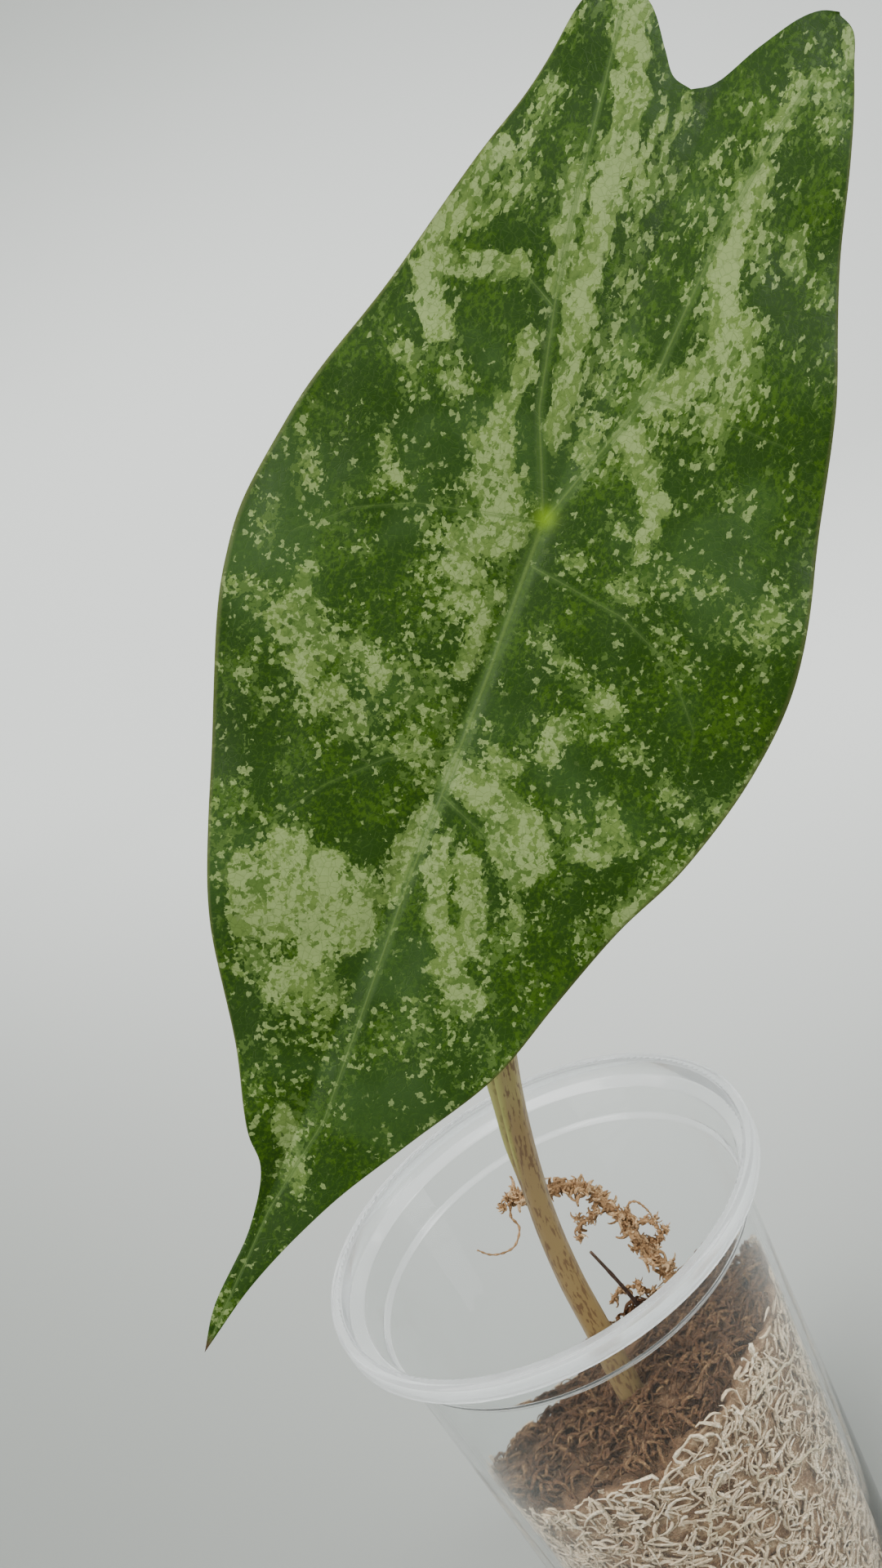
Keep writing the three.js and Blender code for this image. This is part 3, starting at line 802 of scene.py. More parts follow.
@dataclass
class Moss:
    """The bed of moss, the strands on it and against the wall, and the roots that show."""

    cup: Cup
    centre_height: float = 78.0
    slope_x: float = 0.23
    slope_y: float = -0.36
    curl_x: float = 0.0043
    bump: float = 2.2
    gap: float = 0.35
    inset: float = 1.0
    dent: float = 0.8
    foot_round: float = 2.6
    rings: int = 60
    around: int = 150
    top_tufts: int = 190
    top_each: int = 9
    top_curl: float = 2.6
    top_length: tuple = (2.5, 9)
    top_rise: tuple = (0.3, 4.0)
    top_thickness: tuple = (0.3, 0.75)
    wall_tufts: int = 700
    wall_each: int = 8
    wall_lean: float = 1.1
    wall_curl: float = 3.2
    wall_length: tuple = (4, 11)
    wall_thickness: tuple = (0.32, 0.75)
    wall_floor: float = 2.2
    root_threads: int = 12
    root_floor: float = 2.4
    root_fall: tuple = (18, 60)
    root_thickness: tuple = (0.22, 0.42)

    def top(self, x: Array, y: Array) -> Array:
        """Height of the bed: a slope that curls up at the sides, a low hump and soft bumps.

        Args:
            x: Places to the right of the axis.
            y: Places behind the axis.

        Returns:
            The height at each place.
        """
        hump = 2 * np.exp(-(x * x + y * y) / 260)
        slope = self.slope_x * x + self.curl_x * x * x + self.slope_y * y
        return self.centre_height + slope + hump + self.bump * bumps(x, y, 23)

    def flank(self, inset: float) -> float:
        """Radius of the bed at its middle height, held back from the wall by inset."""
        return self.cup.inner_radius(self.centre_height) - inset

    def bed(self, finish: Material) -> None:
        """Makes a closed lump: rings out over the top, down the side and in along the floor.

        Args:
            finish: The lump's material.
        """
        flank = self.flank(self.inset)
        girth, floor = 46, self.cup.wall + self.gap
        angle = once_round(self.around)
        over = np.linspace(0.02, 0.97, self.rings // 2)[:, None]
        x, y = over * flank * np.cos(angle), over * flank * np.sin(angle)
        rough = 1.1 * bumps(x, y, 5.1) + 0.7 * bumps(y, x, 2.7)
        cap = np.stack([x, y, self.top(x, y) + rough - 0.6], axis=-1)
        down = np.linspace(0, 1, self.rings)[:, None]
        high = self.wall_top(angle) - 1.5
        z = high + down * (floor - high)
        dent = sum(self.dent * (0.5 + 0.5 * bumps(angle * girth, z, size)) for size in (19, 6.3))
        r = self.cup.inner_radius(z) - self.inset - dent
        r = r - self.foot_round * smoothstep(0.97, 1.0, down)
        rows = np.concatenate([cap, at_radius(r, angle, z)])
        points, faces = turned(rows, (0, 0, self.top(0, 0) - 1), (0, 0, floor))
        x, y, z = points.T
        tone = 0.4 + 0.4 * bumps(x + y, z * 1.3 - y, 9)
        # The flank is made paler than the top: the darker top is painted shade, the paler flank
        # partly painted light through the wall.
        tone[cap.size // 3 :] += 0.42
        made = piece("moss_lump", points, faces, finish, {"tone": tone})
        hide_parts("moss_bed")

    def strands_on_top(self, finish: Material) -> None:
        """Tufts of curled strands over the top of the bed.

        The strands of a tuft start at its middle, turn steadily as they go and fall to the bed.

        Args:
            finish: The strands' material.
        """
        tufts, each = self.top_tufts, self.top_each
        draws = Draws(11, tufts * each)
        t = np.linspace(0, 1, 8)[None]
        flank = self.flank(2.5)
        share, start, rise = (
            np.repeat(draws.rng.uniform(low, high, (tufts, 1)), each, axis=0)
            for low, high in ((0, 1), (0, ROUND), self.top_rise))
        r = flank * np.sqrt(share)
        heading = draws.even(0, ROUND) + draws.even(-self.top_curl, self.top_curl) * t
        ahead, aside = wander(heading, draws.even(*self.top_length))
        x = r * np.cos(start) + draws.near(0.7) + ahead
        y = r * np.sin(start) + draws.near(0.7) + aside
        far = np.maximum(1, np.hypot(x, y) / flank)
        x, y = x / far, y / far
        fall = rise * (1 - t**1.5) + draws.even(0, 2.0) * np.sin(math.pi * t)
        z = self.top(x, y) - 0.4 + fall + draws.rng.normal(0, 0.15, x.shape)
        knots = 1 + 0.25 * np.sin(17 * t + 6 * start)
        radii = draws.even(*self.top_thickness) * (1 - 0.6 * t) * knots
        points, faces = tubes(np.stack([x, y, z], axis=-1), radii, 4, draws.ways())
        own = draws.rng.beta(1.6, 1.3, tufts * each)
        tone = 0.6 * own + 0.4 * np.repeat(draws.rng.uniform(0, 1, tufts), each)
        made = piece("moss_top_strands", points, faces, finish, {"tone": tone})

    def on_wall(self, angle: Array, z: Array, depth: Array) -> Array:
        """Places on the inner wall, held back from it by depth."""
        return at_radius(self.cup.inner_radius(z) - depth, angle, z)

    def wall_top(self, angle: Array) -> Array:
        """Height of the bed's top along the wall."""
        r = self.flank(self.inset)
        return self.top(r * np.cos(angle), r * np.sin(angle))

    def strands_on_wall(self, finish: Material) -> None:
        """Tufts of strands pressed flat against the wall, each a curve unrolled on it.

        The tufts are spread evenly: each next one is a fixed fraction of the way further round
        and up. Most of the strands set out up or down.

        Args:
            finish: The strands' material.
        """
        tufts, each = self.wall_tufts, self.wall_each
        step_round, step_up, girth = 0.754878, 0.56984, 47
        draws = Draws(12, tufts * each)
        rng, shape = draws.rng, (tufts * each, 1)
        t = np.linspace(0, 1, 6)[None]
        number = np.repeat(np.arange(tufts)[:, None], each, axis=0)
        start = ROUND * (step_round * number % 1)
        z0 = 2.5 + (self.wall_top(start) - 3) * (step_up * number % 1)
        start, z0 = start + draws.near(0.04), z0 + draws.near(1.9)
        upright = rng.choice([-0.5, 0.5], shape) * math.pi
        heading = upright + draws.near(self.wall_lean)
        heading = heading + draws.even(-self.wall_curl, self.wall_curl) * t
        shortest, extra = self.wall_length
        aside, rise = wander(heading, shortest + extra * rng.beta(1.2, 2.5, shape))
        angle = start + aside / girth
        z = np.clip(z0 + rise, self.wall_floor, self.wall_top(angle) + 1.5)
        swell = 0.6 + 0.5 * np.sin(math.pi * t**0.7)
        radii = draws.even(*self.wall_thickness) * swell * (1 - 0.5 * t)
        paths = self.on_wall(angle, z, 0.2 + radii + draws.even(0, 1.1))
        points, faces = tubes(paths, radii, 3, draws.ways())
        patch = 0.5 + 0.5 * bumps(start * girth, z0, 17)
        tone = 0.55 * rng.beta(1.5, 1.3, shape) + 0.45 * patch
        made = piece("moss_wall_strands", points, faces, finish, {"tone": tone})

    def roots_on_wall(self, finish: Material) -> None:
        """Long pale root threads that wander down the wall: a steady fall with a swaying angle.

        Args:
            finish: The threads' material.
        """
        draws = Draws(13, self.root_threads)
        t = np.linspace(0, 1, 40)[None]
        start = draws.even(-1.4, 0.6)
        sway = draws.even(0.08, 0.35) * np.sin(draws.even(2, 5) * t + draws.even(0, 6))
        angle = start + draws.even(-0.5, 0.5) * t + sway + 0.02 * np.sin(40 * t + start * 9)
        high = self.wall_top(angle) - 6 - draws.even(0, 40)
        z = np.clip(high - t * draws.even(*self.root_fall), self.root_floor, None)
        radii = draws.even(*self.root_thickness) * (1 - 0.5 * t)
        points, faces = tubes(self.on_wall(angle, z, 0.12 + radii), radii, 5, draws.ways())
        made = piece("root_threads", points, faces, finish, {"tone": draws.even(0.2, 1)})


@dataclass
class Sprig:
    """A loose sprig of moss on the far wall, its runs given as stops of (degrees, height)."""

    cup: Cup
    depth: float = 4.2
    stem_radius: float = 1.3
    branch_radius: float = 0.75
    thread_radius: float = 0.4
    clumps: int = 30
    curls: int = 18
    branch_size: float = 0.6
    curl_turn: tuple = (0.8, 2.6)
    curl_reach: tuple = (1.4, 3.6)
    curl_radius: tuple = (0.45, 0.95)
    stem: tuple = (
        (59, 66), (61.3, 75), (64, 83), (66.5, 90), (71.2, 101), (73.8, 108), (81.7, 112.5),
        (88.7, 114.5), (97, 117), (102.5, 118))
    branches: tuple = (
        ((75, 104), (78, 100.5), (85, 99), (86.5, 95)),
        ((68, 96), (64.7, 94), (58.5, 94), (56.6, 89), (61, 84.5)),
        ((96, 116.5), (101, 117), (105, 116.5)),
        ((70, 68), (76, 73), (82, 74.5), (89, 72)),
    )
    threads: tuple = (
        ((104, 116), (105.9, 113), (105.3, 108.7), (110, 105), (114.5, 105.3), (120, 108),
         (123.7, 112.3)),
        ((66, 97), (63, 101), (60, 101), (57, 97), (57.5, 92)),
    )

    def on_wall(self, stops: tuple) -> Array:
        """Stops of a run, set just inside the wall."""
        degrees, z = np.array(stops, dtype=float).T
        return at_radius(self.cup.inner_radius(z) - self.depth, np.radians(degrees), z)

    def build(self, finish: Material) -> None:
        """Knobbly stems hung with clumps of curls; a curl bends as an arc and tapers to a point.

        Args:
            finish: The sprig's material.
        """
        side_runs, rings, sides = len(self.branches), 7, 4
        runs = [self.on_wall(stops) for stops in (self.stem, *self.branches, *self.threads)]
        t = np.linspace(0, 1, 60)
        stems = np.stack([smooth_curve(run, t) for run in runs])
        widest = np.repeat([self.stem_radius, self.branch_radius, self.thread_radius],
                           [1, side_runs, len(self.threads)])[:, None]
        thick = widest * (1 - 0.4 * t) * (1 + 0.3 * np.sin(70 * t))
        first, first_faces = tubes(stems, thick, 7, np.tile([0.3, 0.9, 0.2], (len(runs), 1)))
        per_run = [self.clumps] + [self.clumps // 4] * side_runs
        middles = np.concatenate(
            [smooth_curve(run, (np.arange(k) + 0.5) / k) for run, k in zip(runs, per_run)])
        draws = Draws(14, len(middles) * self.curls)
        middles = middles + draws.rng.normal(0, 1.1, middles.shape)
        t = np.linspace(0, 1, rings)
        root = np.repeat(middles, self.curls, axis=0) + draws.ways() * 0.35
        size = np.repeat([1.0] + [self.branch_size] * side_runs, per_run)
        size = np.repeat(size, self.curls)[:, None]
        way = unit(draws.ways())[:, None]
        side = unit(np.cross(way, draws.ways()[:, None]))
        bend = (draws.even(*self.curl_turn) * t)[..., None]
        reach = (size * draws.even(*self.curl_reach))[..., None]
        paths = root[:, None] + reach * (np.sin(bend) * way + (1 - np.cos(bend)) * side) / 1.4
        radii = size * draws.even(*self.curl_radius) * (1 - 0.7 * t**1.5)
        outer = self.cup.inner_radius(paths[..., 2]) - 0.5 - radii
        shrink = np.minimum(1, outer / np.hypot(paths[..., 0], paths[..., 1]))
        paths[..., :2] *= shrink[..., None]
        second, second_faces = tubes(paths, radii, sides, draws.ways())
        points = np.vstack([first, second])
        faces = np.concatenate([first_faces, second_faces + len(first)])
        tone = np.repeat(draws.even(0.1, 1), rings * sides)
        tone = np.concatenate([np.full(len(first), 0.3), tone])
        made = piece("loose_sprig", points, faces, finish, {"tone": tone})
        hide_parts("moss_sprig")


@dataclass
class Twig:
    """A thin dry twig standing in the moss."""

    foot: tuple = (10.0, 31.3, 58.0)
    top: tuple = (3.8, 30.0, 99.0)
    bow: tuple = (0.8, 0, 0)
    radius: float = 0.75

    def build(self, finish: Material) -> None:
        """A tapering stick with knots, slightly bowed between its ends.

        Args:
            finish: The twig's material.
        """
        t = np.linspace(0, 1, 40)[None]
        foot, top, bow = (np.array(place) for place in (self.foot, self.top, self.bow))
        path = foot + t[..., None] * (top - foot) + np.sin(math.pi * t)[..., None] * bow
        knots = 1 + 0.22 * np.exp(-(((t * 3.3) % 1 - 0.5) / 0.1) ** 2)
        radii = self.radius * (1 - 0.42 * t) * knots
        points, faces = tubes(path, radii, 8, np.array([[1.0, 0.2, 0.0]]))
        made = piece("dry_twig", points, faces, finish, {"tone": t})
        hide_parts("twig")


# The stalk


@dataclass
class Stalk:
    """The leaning stalk with the open margins of its sheath."""

    blade_centre: tuple
    base_radius: float = 3.7
    top_radius: float = 2.2
    sheath_start: float = 0.28
    sheath_rise: float = 0.15
    sheath_end: float = 0.66
    sheath_height: float = 2.9
    fin_width: float = 0.16
    second_fin: float = 0.785
    facing: tuple = (-0.88, 0.2, 0.35)
    skin_depth: float = 1.0
    rings: int = 260
    sides: int = 96
    stops: tuple = (
        (-3, 0, 67), (-2.7, 0.3, 84), (-2.3, 1, 98.4), (-1.9, 2, 116.7), (0.9, 4, 140),
        (10.2, 8, 174.6), (28, 11.5, 214), (51, 9, 252), (67.5, 0.5, 280))

    def build(self, finish: Material, blade_out: Array) -> None:
        """Carries a section along the line from the corm to the blade's back.

        The section's radius is the stalk's own, plus soft facets, plus two fins where the sheath
        is open. The stalk is cut off a little under the blade's middle plane.

        Args:
            finish: The stalk's material.
            blade_out: Direction out of the blade's upper face.
        """
        share = np.linspace(0, 1, self.rings)
        path = smooth_curve((*self.stops, self.blade_centre), share)
        total = np.linalg.norm(np.diff(path, axis=0), axis=1).sum()
        along = unit(np.gradient(path, axis=0))
        facing = np.array(self.facing)
        n = unit(facing - (along @ facing)[:, None] * along)
        m = np.cross(along, n)
        angle = np.linspace(-math.pi, math.pi, self.sides, endpoint=False)
        s = share[:, None]
        opened = smoothstep(self.sheath_start, self.sheath_start + self.sheath_rise, s)
        opened = opened * (1 - smoothstep(self.sheath_end - 0.06, self.sheath_end, s))
        stalk = self.base_radius + (self.top_radius - self.base_radius) * np.minimum(1, s * 1.25)
        stalk = stalk + 0.9 * smoothstep(0.9, 1, s) + 0.12 * np.cos(5 * angle + 3 * s)
        near = np.exp(-((angle / self.fin_width) ** 2))
        other = np.exp(-(((angle - self.second_fin) / self.fin_width) ** 2))
        ripple = 1 + 0.12 * np.sin(60 * s)
        r = stalk + self.sheath_height * opened * ripple * (near + 0.6 * other)
        circle = np.cos(angle)[:, None] * n[:, None] + np.sin(angle)[:, None] * m[:, None]
        points = path[:, None] + r[..., None] * circle
        over = (points - np.array(self.blade_centre)) @ blade_out + self.skin_depth
        points = (points - np.maximum(over, 0)[..., None] * blade_out).reshape(-1, 3)
        wing = np.clip(near + other, 0, 1) * smoothstep(0.05, 0.5, opened) * 0.85
        uv = np.stack(np.broadcast_arrays(angle * 2.6, s * total), axis=-1).reshape(-1, 2) / 100
        values = {"wing": wing, "height": smoothstep(0.35, 1.0, share)}
        faces = outward(points, tube_faces(self.rings, self.sides))
        made = piece("leaf_stalk", points, faces, finish, values, uv)
        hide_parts("petiole")


# The leaf


@dataclass(frozen=True)
class Vein:
    """A vein of the blade.

    It has a run, a height on the back and a strength in front, then a half width for each.
    """

    points: tuple
    height: float
    shows: float
    width: float = 1.8
    seen_width: float = 0.9


@dataclass(frozen=True)
class Streak:
    """A pale area: a run, the reach to each side of it, and how thick its flecks are."""

    points: tuple
    reach: float
    density: float


@dataclass
class Leaf:
    """A long arrowhead blade, from a flat outline given as (towards the tip, across)."""

    centre: tuple = (75.2, -8.2, 293.6)
    lean: float = 16.5
    swing: float = 50.4
    thickness: float = 0.8
    rows: int = 330
    sinus_row: int = 288
    columns: int = 72
    sinus_share: float = 0.905
    arch_to_tip: float = 0.00036
    arch_to_lobes: float = 0.0007
    fold_rise: float = 0.13
    fold_fall: float = 0.0016
    wave_height: float = 1.9
    wave_length: float = 8.5
    groove_depth: float = 0.7
    groove_width: float = 3.0
    pillow_height: float = 0.4
    pillow_period: float = 26.0
    tip_start: float = 195.0
    hub_radius: float = 2.3
    main_veins: int = 3
    streak_trim: float = 0.92
    streak_skirt: float = 3.4

    midline: tuple = (
        (200, 0), (163, 1.3), (139, 5.1), (116, 4), (83, 2.4), (34, 1.4), (0, 0), (-50, -3.2),
        (-102, -5.9))
    lobes: tuple = (
        ((-102, -5.9), (-103, -10.4), (-108, -14.5), (-117, -22), (-119, -30.2)),
        ((-102, -5.9), (-105, -2.3), (-118, 4.6), (-128, 10.8), (-131.6, 14.6), (-132.6, 18.2)),
    )
    edges: tuple = (
        ((200, 0), (189, -1.9), (169, -1.2), (154, -4.1), (148, -9.3), (132, -18.6), (109, -33.2),
         (86, -43), (60, -52.3), (34, -60.1), (20, -62), (0, -59), (-28, -52.5), (-63, -43.9),
         (-95, -37.6), (-111, -35), (-119, -30.2)),
        ((200, 0), (180, 4.4), (157, 13), (137, 24.3), (116, 35.3), (96, 42.1), (75, 48.9),
         (57, 56.3), (35, 62.5), (18, 63.5), (-4, 60), (-32, 52.9), (-60, 44.2), (-92, 34.1),
         (-121, 26.2), (-130, 23.1), (-132, 20.8), (-132.6, 18.2)),
    )
    veins: tuple = tuple(Vein(*row) for row in (
        (((200, 0), (163, 1.3), (139, 5.1), (116, 4), (83, 2.4), (34, 1.4), (0, 0)),
         2.4, 0.8, 2.6, 1.7),
        (((0, 0), (-22, -10), (-45, -15.6), (-66, -19.6), (-111, -26.3)), 1.9, 0.8, 2.2, 1.5),
        (((0, 0), (-33, 10.4), (-72, 11.9), (-95, 14.5), (-116, 18.5)), 1.9, 0.8, 2.2, 1.6),
        (((0, 0), (3, -11), (7, -27), (13, -39), (22, -49)), 0.9, 0.6),
        (((10, 2), (13, 23), (19, 37), (30, 47), (39, 49)), 0.9, 0.6),
        (((52, 2), (60, -12), (70, -22), (86, -33)), 0.8, 0.5),
        (((63, 2), (69, 18), (80, 28), (93, 33)), 0.8, 0.5),
        (((-33, 10), (-34, 25), (-34, 42)), 0.7, 0.6),
        (((-44, -16), (-48, -24), (-47, -32), (-43, -40)), 0.7, 0.6),
    ))
    streaks: tuple = tuple(Streak(*row) for row in (
        (((-119, -27), (-104, -21), (-93, -17)), 4.3, 1.15),
        (((-92, -17), (-78, -15), (-66, -13)), 3.6, 1.15),
        (((-66, -13), (-54, -12), (-40, -9)), 3.6, 1.15),
        (((-40, -9), (-28, -6), (-18, -5)), 2.9, 1.12),
        (((-74, -21), (-62, -20), (-51, -17), (-47, -16)), 2.4, 1.1),
        (((-100, -6), (-85, -6), (-70, -6)), 0.8, 1.05),
        (((-96, -9), (-86, -10), (-73, -8)), 0.8, 1.05),
        (((-90, 16), (-79, 15), (-66, 16)), 2.4, 1.12), (((-66, 16), (-52, 21)), 3.4, 1.15),
        (((-48, 21), (-41, 19), (-32, 12)), 3.3, 1.1),
        (((-72, -39), (-62, -41), (-49, -44)), 3.0, 0.9),
        (((-45, -45), (-34, -41), (-30, -36)), 3.3, 1.1), (((-44, -39), (-49, -26)), 2.9, 0.85),
        (((-55, -39), (-65, -32)), 4.8, 0.5), (((-91, -34), (-81, -34), (-70, -35)), 2.6, 0.62),
        (((-67, -4), (-50, -3), (-33, -1), (-17, 2)), 3.8, 0.5),
        (((-114, 16), (-106, 16), (-93, 14)), 2.6, 0.75), (((-129, 22), (-121, 25)), 1.1, 1.05),
        (((-113, 22), (-103, 25)), 3.0, 0.5), (((-78, 28), (-73, 29)), 2.9, 0.9),
        (((-82, 20), (-69, 23)), 3.1, 0.5), (((-56, 25), (-44, 28), (-34, 25)), 3.6, 0.45),
        (((-36, -18), (-26, -16), (-18, -17)), 2.6, 1.0),
        (((-11, -16), (-4, -14), (0, -10)), 4.8, 0.95), (((-20, -30), (-19, -29)), 2.1, 0.85),
        (((-22, -42), (-17, -37)), 3.0, 0.5), (((-4, -39), (4, -34)), 2.8, 0.5),
        (((4, -53), (12, -50)), 3.0, 0.55), (((19, -56), (26, -54)), 2.8, 0.5),
        (((-24, 10), (-18, 16), (-11, 22)), 2.8, 1.0), (((-12, 21), (-1, 22)), 2.4, 1.05),
        (((5, 8), (6, 10)), 2.6, 0.9), (((7, 21), (7, 24)), 3.0, 0.6),
        (((-4, 16), (-4, 17)), 1.6, 1.0), (((11, -15), (6, -5)), 4.0, 0.75),
        (((16, -14), (17, -11)), 2.8, 1.05), (((19, -7), (25, -11)), 3.2, 0.6),
        (((18, -4), (29, -4), (36, -4)), 2.0, 0.9), (((30, -43), (36, -43)), 2.2, 0.8),
        (((38, -54), (39, -45), (42, -33)), 4.6, 0.5), (((40, -27), (43, -20)), 2.2, 0.7),
        (((48, -37), (51, -34)), 2.6, 0.85), (((53, -28), (55, -22)), 4.2, 0.85),
        (((59, -24), (58, -14), (55, -6)), 2.4, 0.5), (((94, -31), (104, -27)), 4.0, 1.0),
        (((86, -25), (101, -20)), 4.6, 1.05), (((87, -15), (104, -11)), 4.4, 1.1),
        (((87, -7), (99, -4)), 4.2, 1.12), (((68, 1), (78, -1), (87, 0)), 3.0, 1.1),
        (((110, -12), (114, -14)), 3.0, 0.8), (((112, -24), (116, -15), (111, -5)), 4.8, 0.52),
        (((73, 6), (82, 8), (92, 14)), 3.0, 1.1), (((75, 13), (83, 18), (91, 19)), 3.4, 1.1),
        (((97, 17), (102, 24)), 3.6, 1.05), (((74, 22), (86, 28)), 3.5, 0.5),
        (((58, 4), (59, 8), (61, 20), (69, 26)), 4.4, 1.06), (((65, 16), (73, 24)), 3.5, 1.05),
        (((64, 33), (62, 39)), 2.2, 0.95), (((51, 35), (58, 40)), 2.1, 0.85),
        (((57, 28), (61, 32)), 3.9, 0.5), (((40, 19), (46, 20)), 2.6, 0.85),
        (((24, 9), (28, 19)), 2.4, 0.62), (((31, 26), (32, 29)), 2.0, 0.85),
        (((39, 35), (39, 38)), 2.8, 0.6), (((43, 45), (44, 48)), 3.6, 0.65),
        (((60, 37), (58, 40)), 4.4, 0.62), (((72, 48), (66, 52)), 1.8, 0.9),
        (((48, 53), (43, 60)), 2.6, 0.5), (((52, 12), (52, 13)), 2.4, 1.0),
        (((0, 32), (-1, 40)), 2.6, 0.5), (((-4, 51), (12, 54)), 3.0, 0.4),
        (((141, -4), (155, 5)), 2.8, 0.85), (((23, 65), (49, 60), (75, 48)), 1.6, 0.9),
    ))

    def axes(self) -> tuple[Array, Array, Array]:
        """Turns the blade's lean and swing into directions.

        Returns:
            The directions to its tip, across it, and out of its upper face.
        """
        lean, swing = math.radians(self.lean), math.radians(self.swing)
        plumb = np.array([0, -math.sin(lean), -math.cos(lean)])
        level = np.array([1.0, 0, 0])
        along = -level * math.sin(swing) + plumb * math.cos(swing)
        across = level * math.cos(swing) + plumb * math.sin(swing)
        return along, across, np.array([0, -math.cos(lean), math.sin(lean)])

    def relief(self, a: Array, b: Array, share: Array) -> Array:
        """How far the middle of the blade stands out of its flat frame.

        It is the sum of an arch along the midrib, halves that rise from the midrib and fall to
        the margin, a waved margin, a groove over the midrib, and pillows between the side veins.

        Args:
            a: Places towards the tip.
            b: Places across the blade.
            share: Share of the way from the midline to the margin.

        Returns:
            The height at each place.
        """
        arch = np.where(a > 0, -self.arch_to_tip, -self.arch_to_lobes) * a * a
        fold = self.fold_rise * np.abs(b) - self.fold_fall * b * b
        ripple = np.sin(a / self.wave_length + np.where(b > 0, 0.8, 2.6))
        wave = self.wave_height * share**2 * ripple * smoothstep(200, 120, a)
        groove = -self.groove_depth * np.exp(-((b / self.groove_width) ** 2))
        groove = groove * smoothstep(195, 150, a)
        pillow = self.pillow_height * bumps(a, b, self.pillow_period)
        return arch + fold + wave + groove + pillow * smoothstep(2, 12, np.abs(b))

    def sheet(self) -> tuple[Array, Array, Array, Array]:
        """The flat grid of both halves, joined along the midline as far as the sinus.

        A row runs straight from the midline, or past the sinus from the lobe's inner edge, to
        the margin.

        Returns:
            Places a and b, share of the way to the margin, and triangles.
        """
        i = np.arange(self.rows + 1)
        past = (i - self.sinus_row) / (self.rows - self.sinus_row)
        joined, lobe_share = past <= 0, np.clip(past, 0, 1)
        w = (np.arange(self.columns + 1) / self.columns) ** 1.35
        size = (self.rows + 1) * (self.columns + 1)
        index = np.arange(size).reshape(self.rows + 1, self.columns + 1)
        middle = smooth_curve(self.midline, np.clip(i / self.sinus_row, 0, 1))
        reach = np.where(joined, self.sinus_share * i / self.sinus_row,
                         self.sinus_share + (1 - self.sinus_share) * past)
        flat, faces = [], []
        for half, (lobe, edge) in enumerate(zip(self.lobes, self.edges)):
            inner = np.where(joined[:, None], middle, smooth_curve(lobe, lobe_share))
            outer = smooth_curve(edge, np.clip(reach, 0, 1))
            grid = inner[:, None] + w[None, :, None] * (outer - inner)[:, None]
            flat.append(grid.reshape(-1, 2))
            numbers = index + half * size
            numbers[0] = 0
            numbers[-1] = numbers[-1, 0]
            numbers[: self.sinus_row + 1, 0] = index[: self.sinus_row + 1, 0]
            p, q, r, s = numbers[:-1, :-1], numbers[1:, :-1], numbers[1:, 1:], numbers[:-1, 1:]
            pair = np.concatenate([np.stack(c, -1).reshape(-1, 3) for c in ((p, q, r), (p, r, s))])
            faces.append(pair[:, ::-1] if half else pair)
        flat, faces = np.concatenate(flat), np.concatenate(faces)
        real = (faces != np.roll(faces, 1, axis=1)).all(axis=1)
        used, faces = np.unique(faces[real], return_inverse=True)
        share = np.tile(np.tile(w, self.rows + 1), 2)[used]
        return flat[used, 0], flat[used, 1], share, faces.reshape(-1, 3)

    def rib(self, a: Array, b: Array) -> Array:
        """Height of the veins on the back, each one a soft ridge that fades towards its end.

        Args:
            a: Places towards the tip.
            b: Places across the blade.

        Returns:
            The height of the tallest ridge at each place.
        """
        tallest = np.zeros_like(a)
        for number, vein in enumerate(self.veins):
            distance, share = to_run(vein.points, a, b)
            fade = 0.2 + 0.8 * share if number == 0 else 1 - 0.75 * share
            ridge = vein.height * fade * np.exp(-((distance / vein.width) ** 2))
            tallest = np.maximum(tallest, ridge)
        return tallest

    def markings(self, a: Array, b: Array, share: Array) -> dict[str, Array]:
        """Numbers for the material: thickness of the pale flecks, veins, hub and rim.

        The flecks are measured from places that are shifted by soft bumps, so that no streak has
        a straight side.

        Args:
            a: Places towards the tip.
            b: Places across the blade.
            share: Share of the way from the midline to the margin.

        Returns:
            The numbers at each place, under the names that the material reads.
        """
        moved_a = a + 1.1 * bumps(a, b, 12) + 0.6 * bumps(b, a, 5.3)
        moved_b = b + 1.1 * bumps(b, a, 10) + 0.6 * bumps(a, b, 4.7)
        cream = np.zeros_like(a)
        for streak in self.streaks:
            distance = np.abs(to_run(streak.points, moved_a, moved_b)[0])
            past = distance - self.streak_trim * streak.reach
            soft = 0.7 + 2.0 * (1 - min(1.0, streak.density) ** 2)
            skirt = 0.18 * smoothstep(self.streak_skirt, 0, past)
            body = np.maximum(smoothstep(soft, -soft, past), skirt)
            cream = np.maximum(cream, streak.density * body)
        shows, veins = np.zeros_like(a), {}
        for number, vein in enumerate(self.veins):
            distance, along = to_run(vein.points, a, b)
            taper = 0.3 + 1.5 * along**2 if number == 0 else 1.1 - 0.5 * along
            fade = 1.0 if number < self.main_veins else 1 - 0.6 * along
            veins[f"vein {number}"] = distance / (vein.seen_width * taper)
            seen = vein.shows * fade * smoothstep(5, 3, np.abs(distance))
            shows = np.maximum(shows, seen)
        tip = smoothstep(self.tip_start, self.tip_start + 4, a)
        rim = np.maximum(smoothstep(0.982, 0.996, share), tip)
        hub = np.exp(-((np.hypot(a + 1, b) / self.hub_radius) ** 2))
        return {"cream": cream, "shows": shows, "hub": hub, "rim": rim, "tip": tip} | veins

    def grain(self, a: Array) -> Array:
        """Lengthwise coordinate of the flecks, pressed together on the lobes to draw them out."""
        return a + 0.42 * 8 * np.logaddexp(0, -(a + 15) / 8)

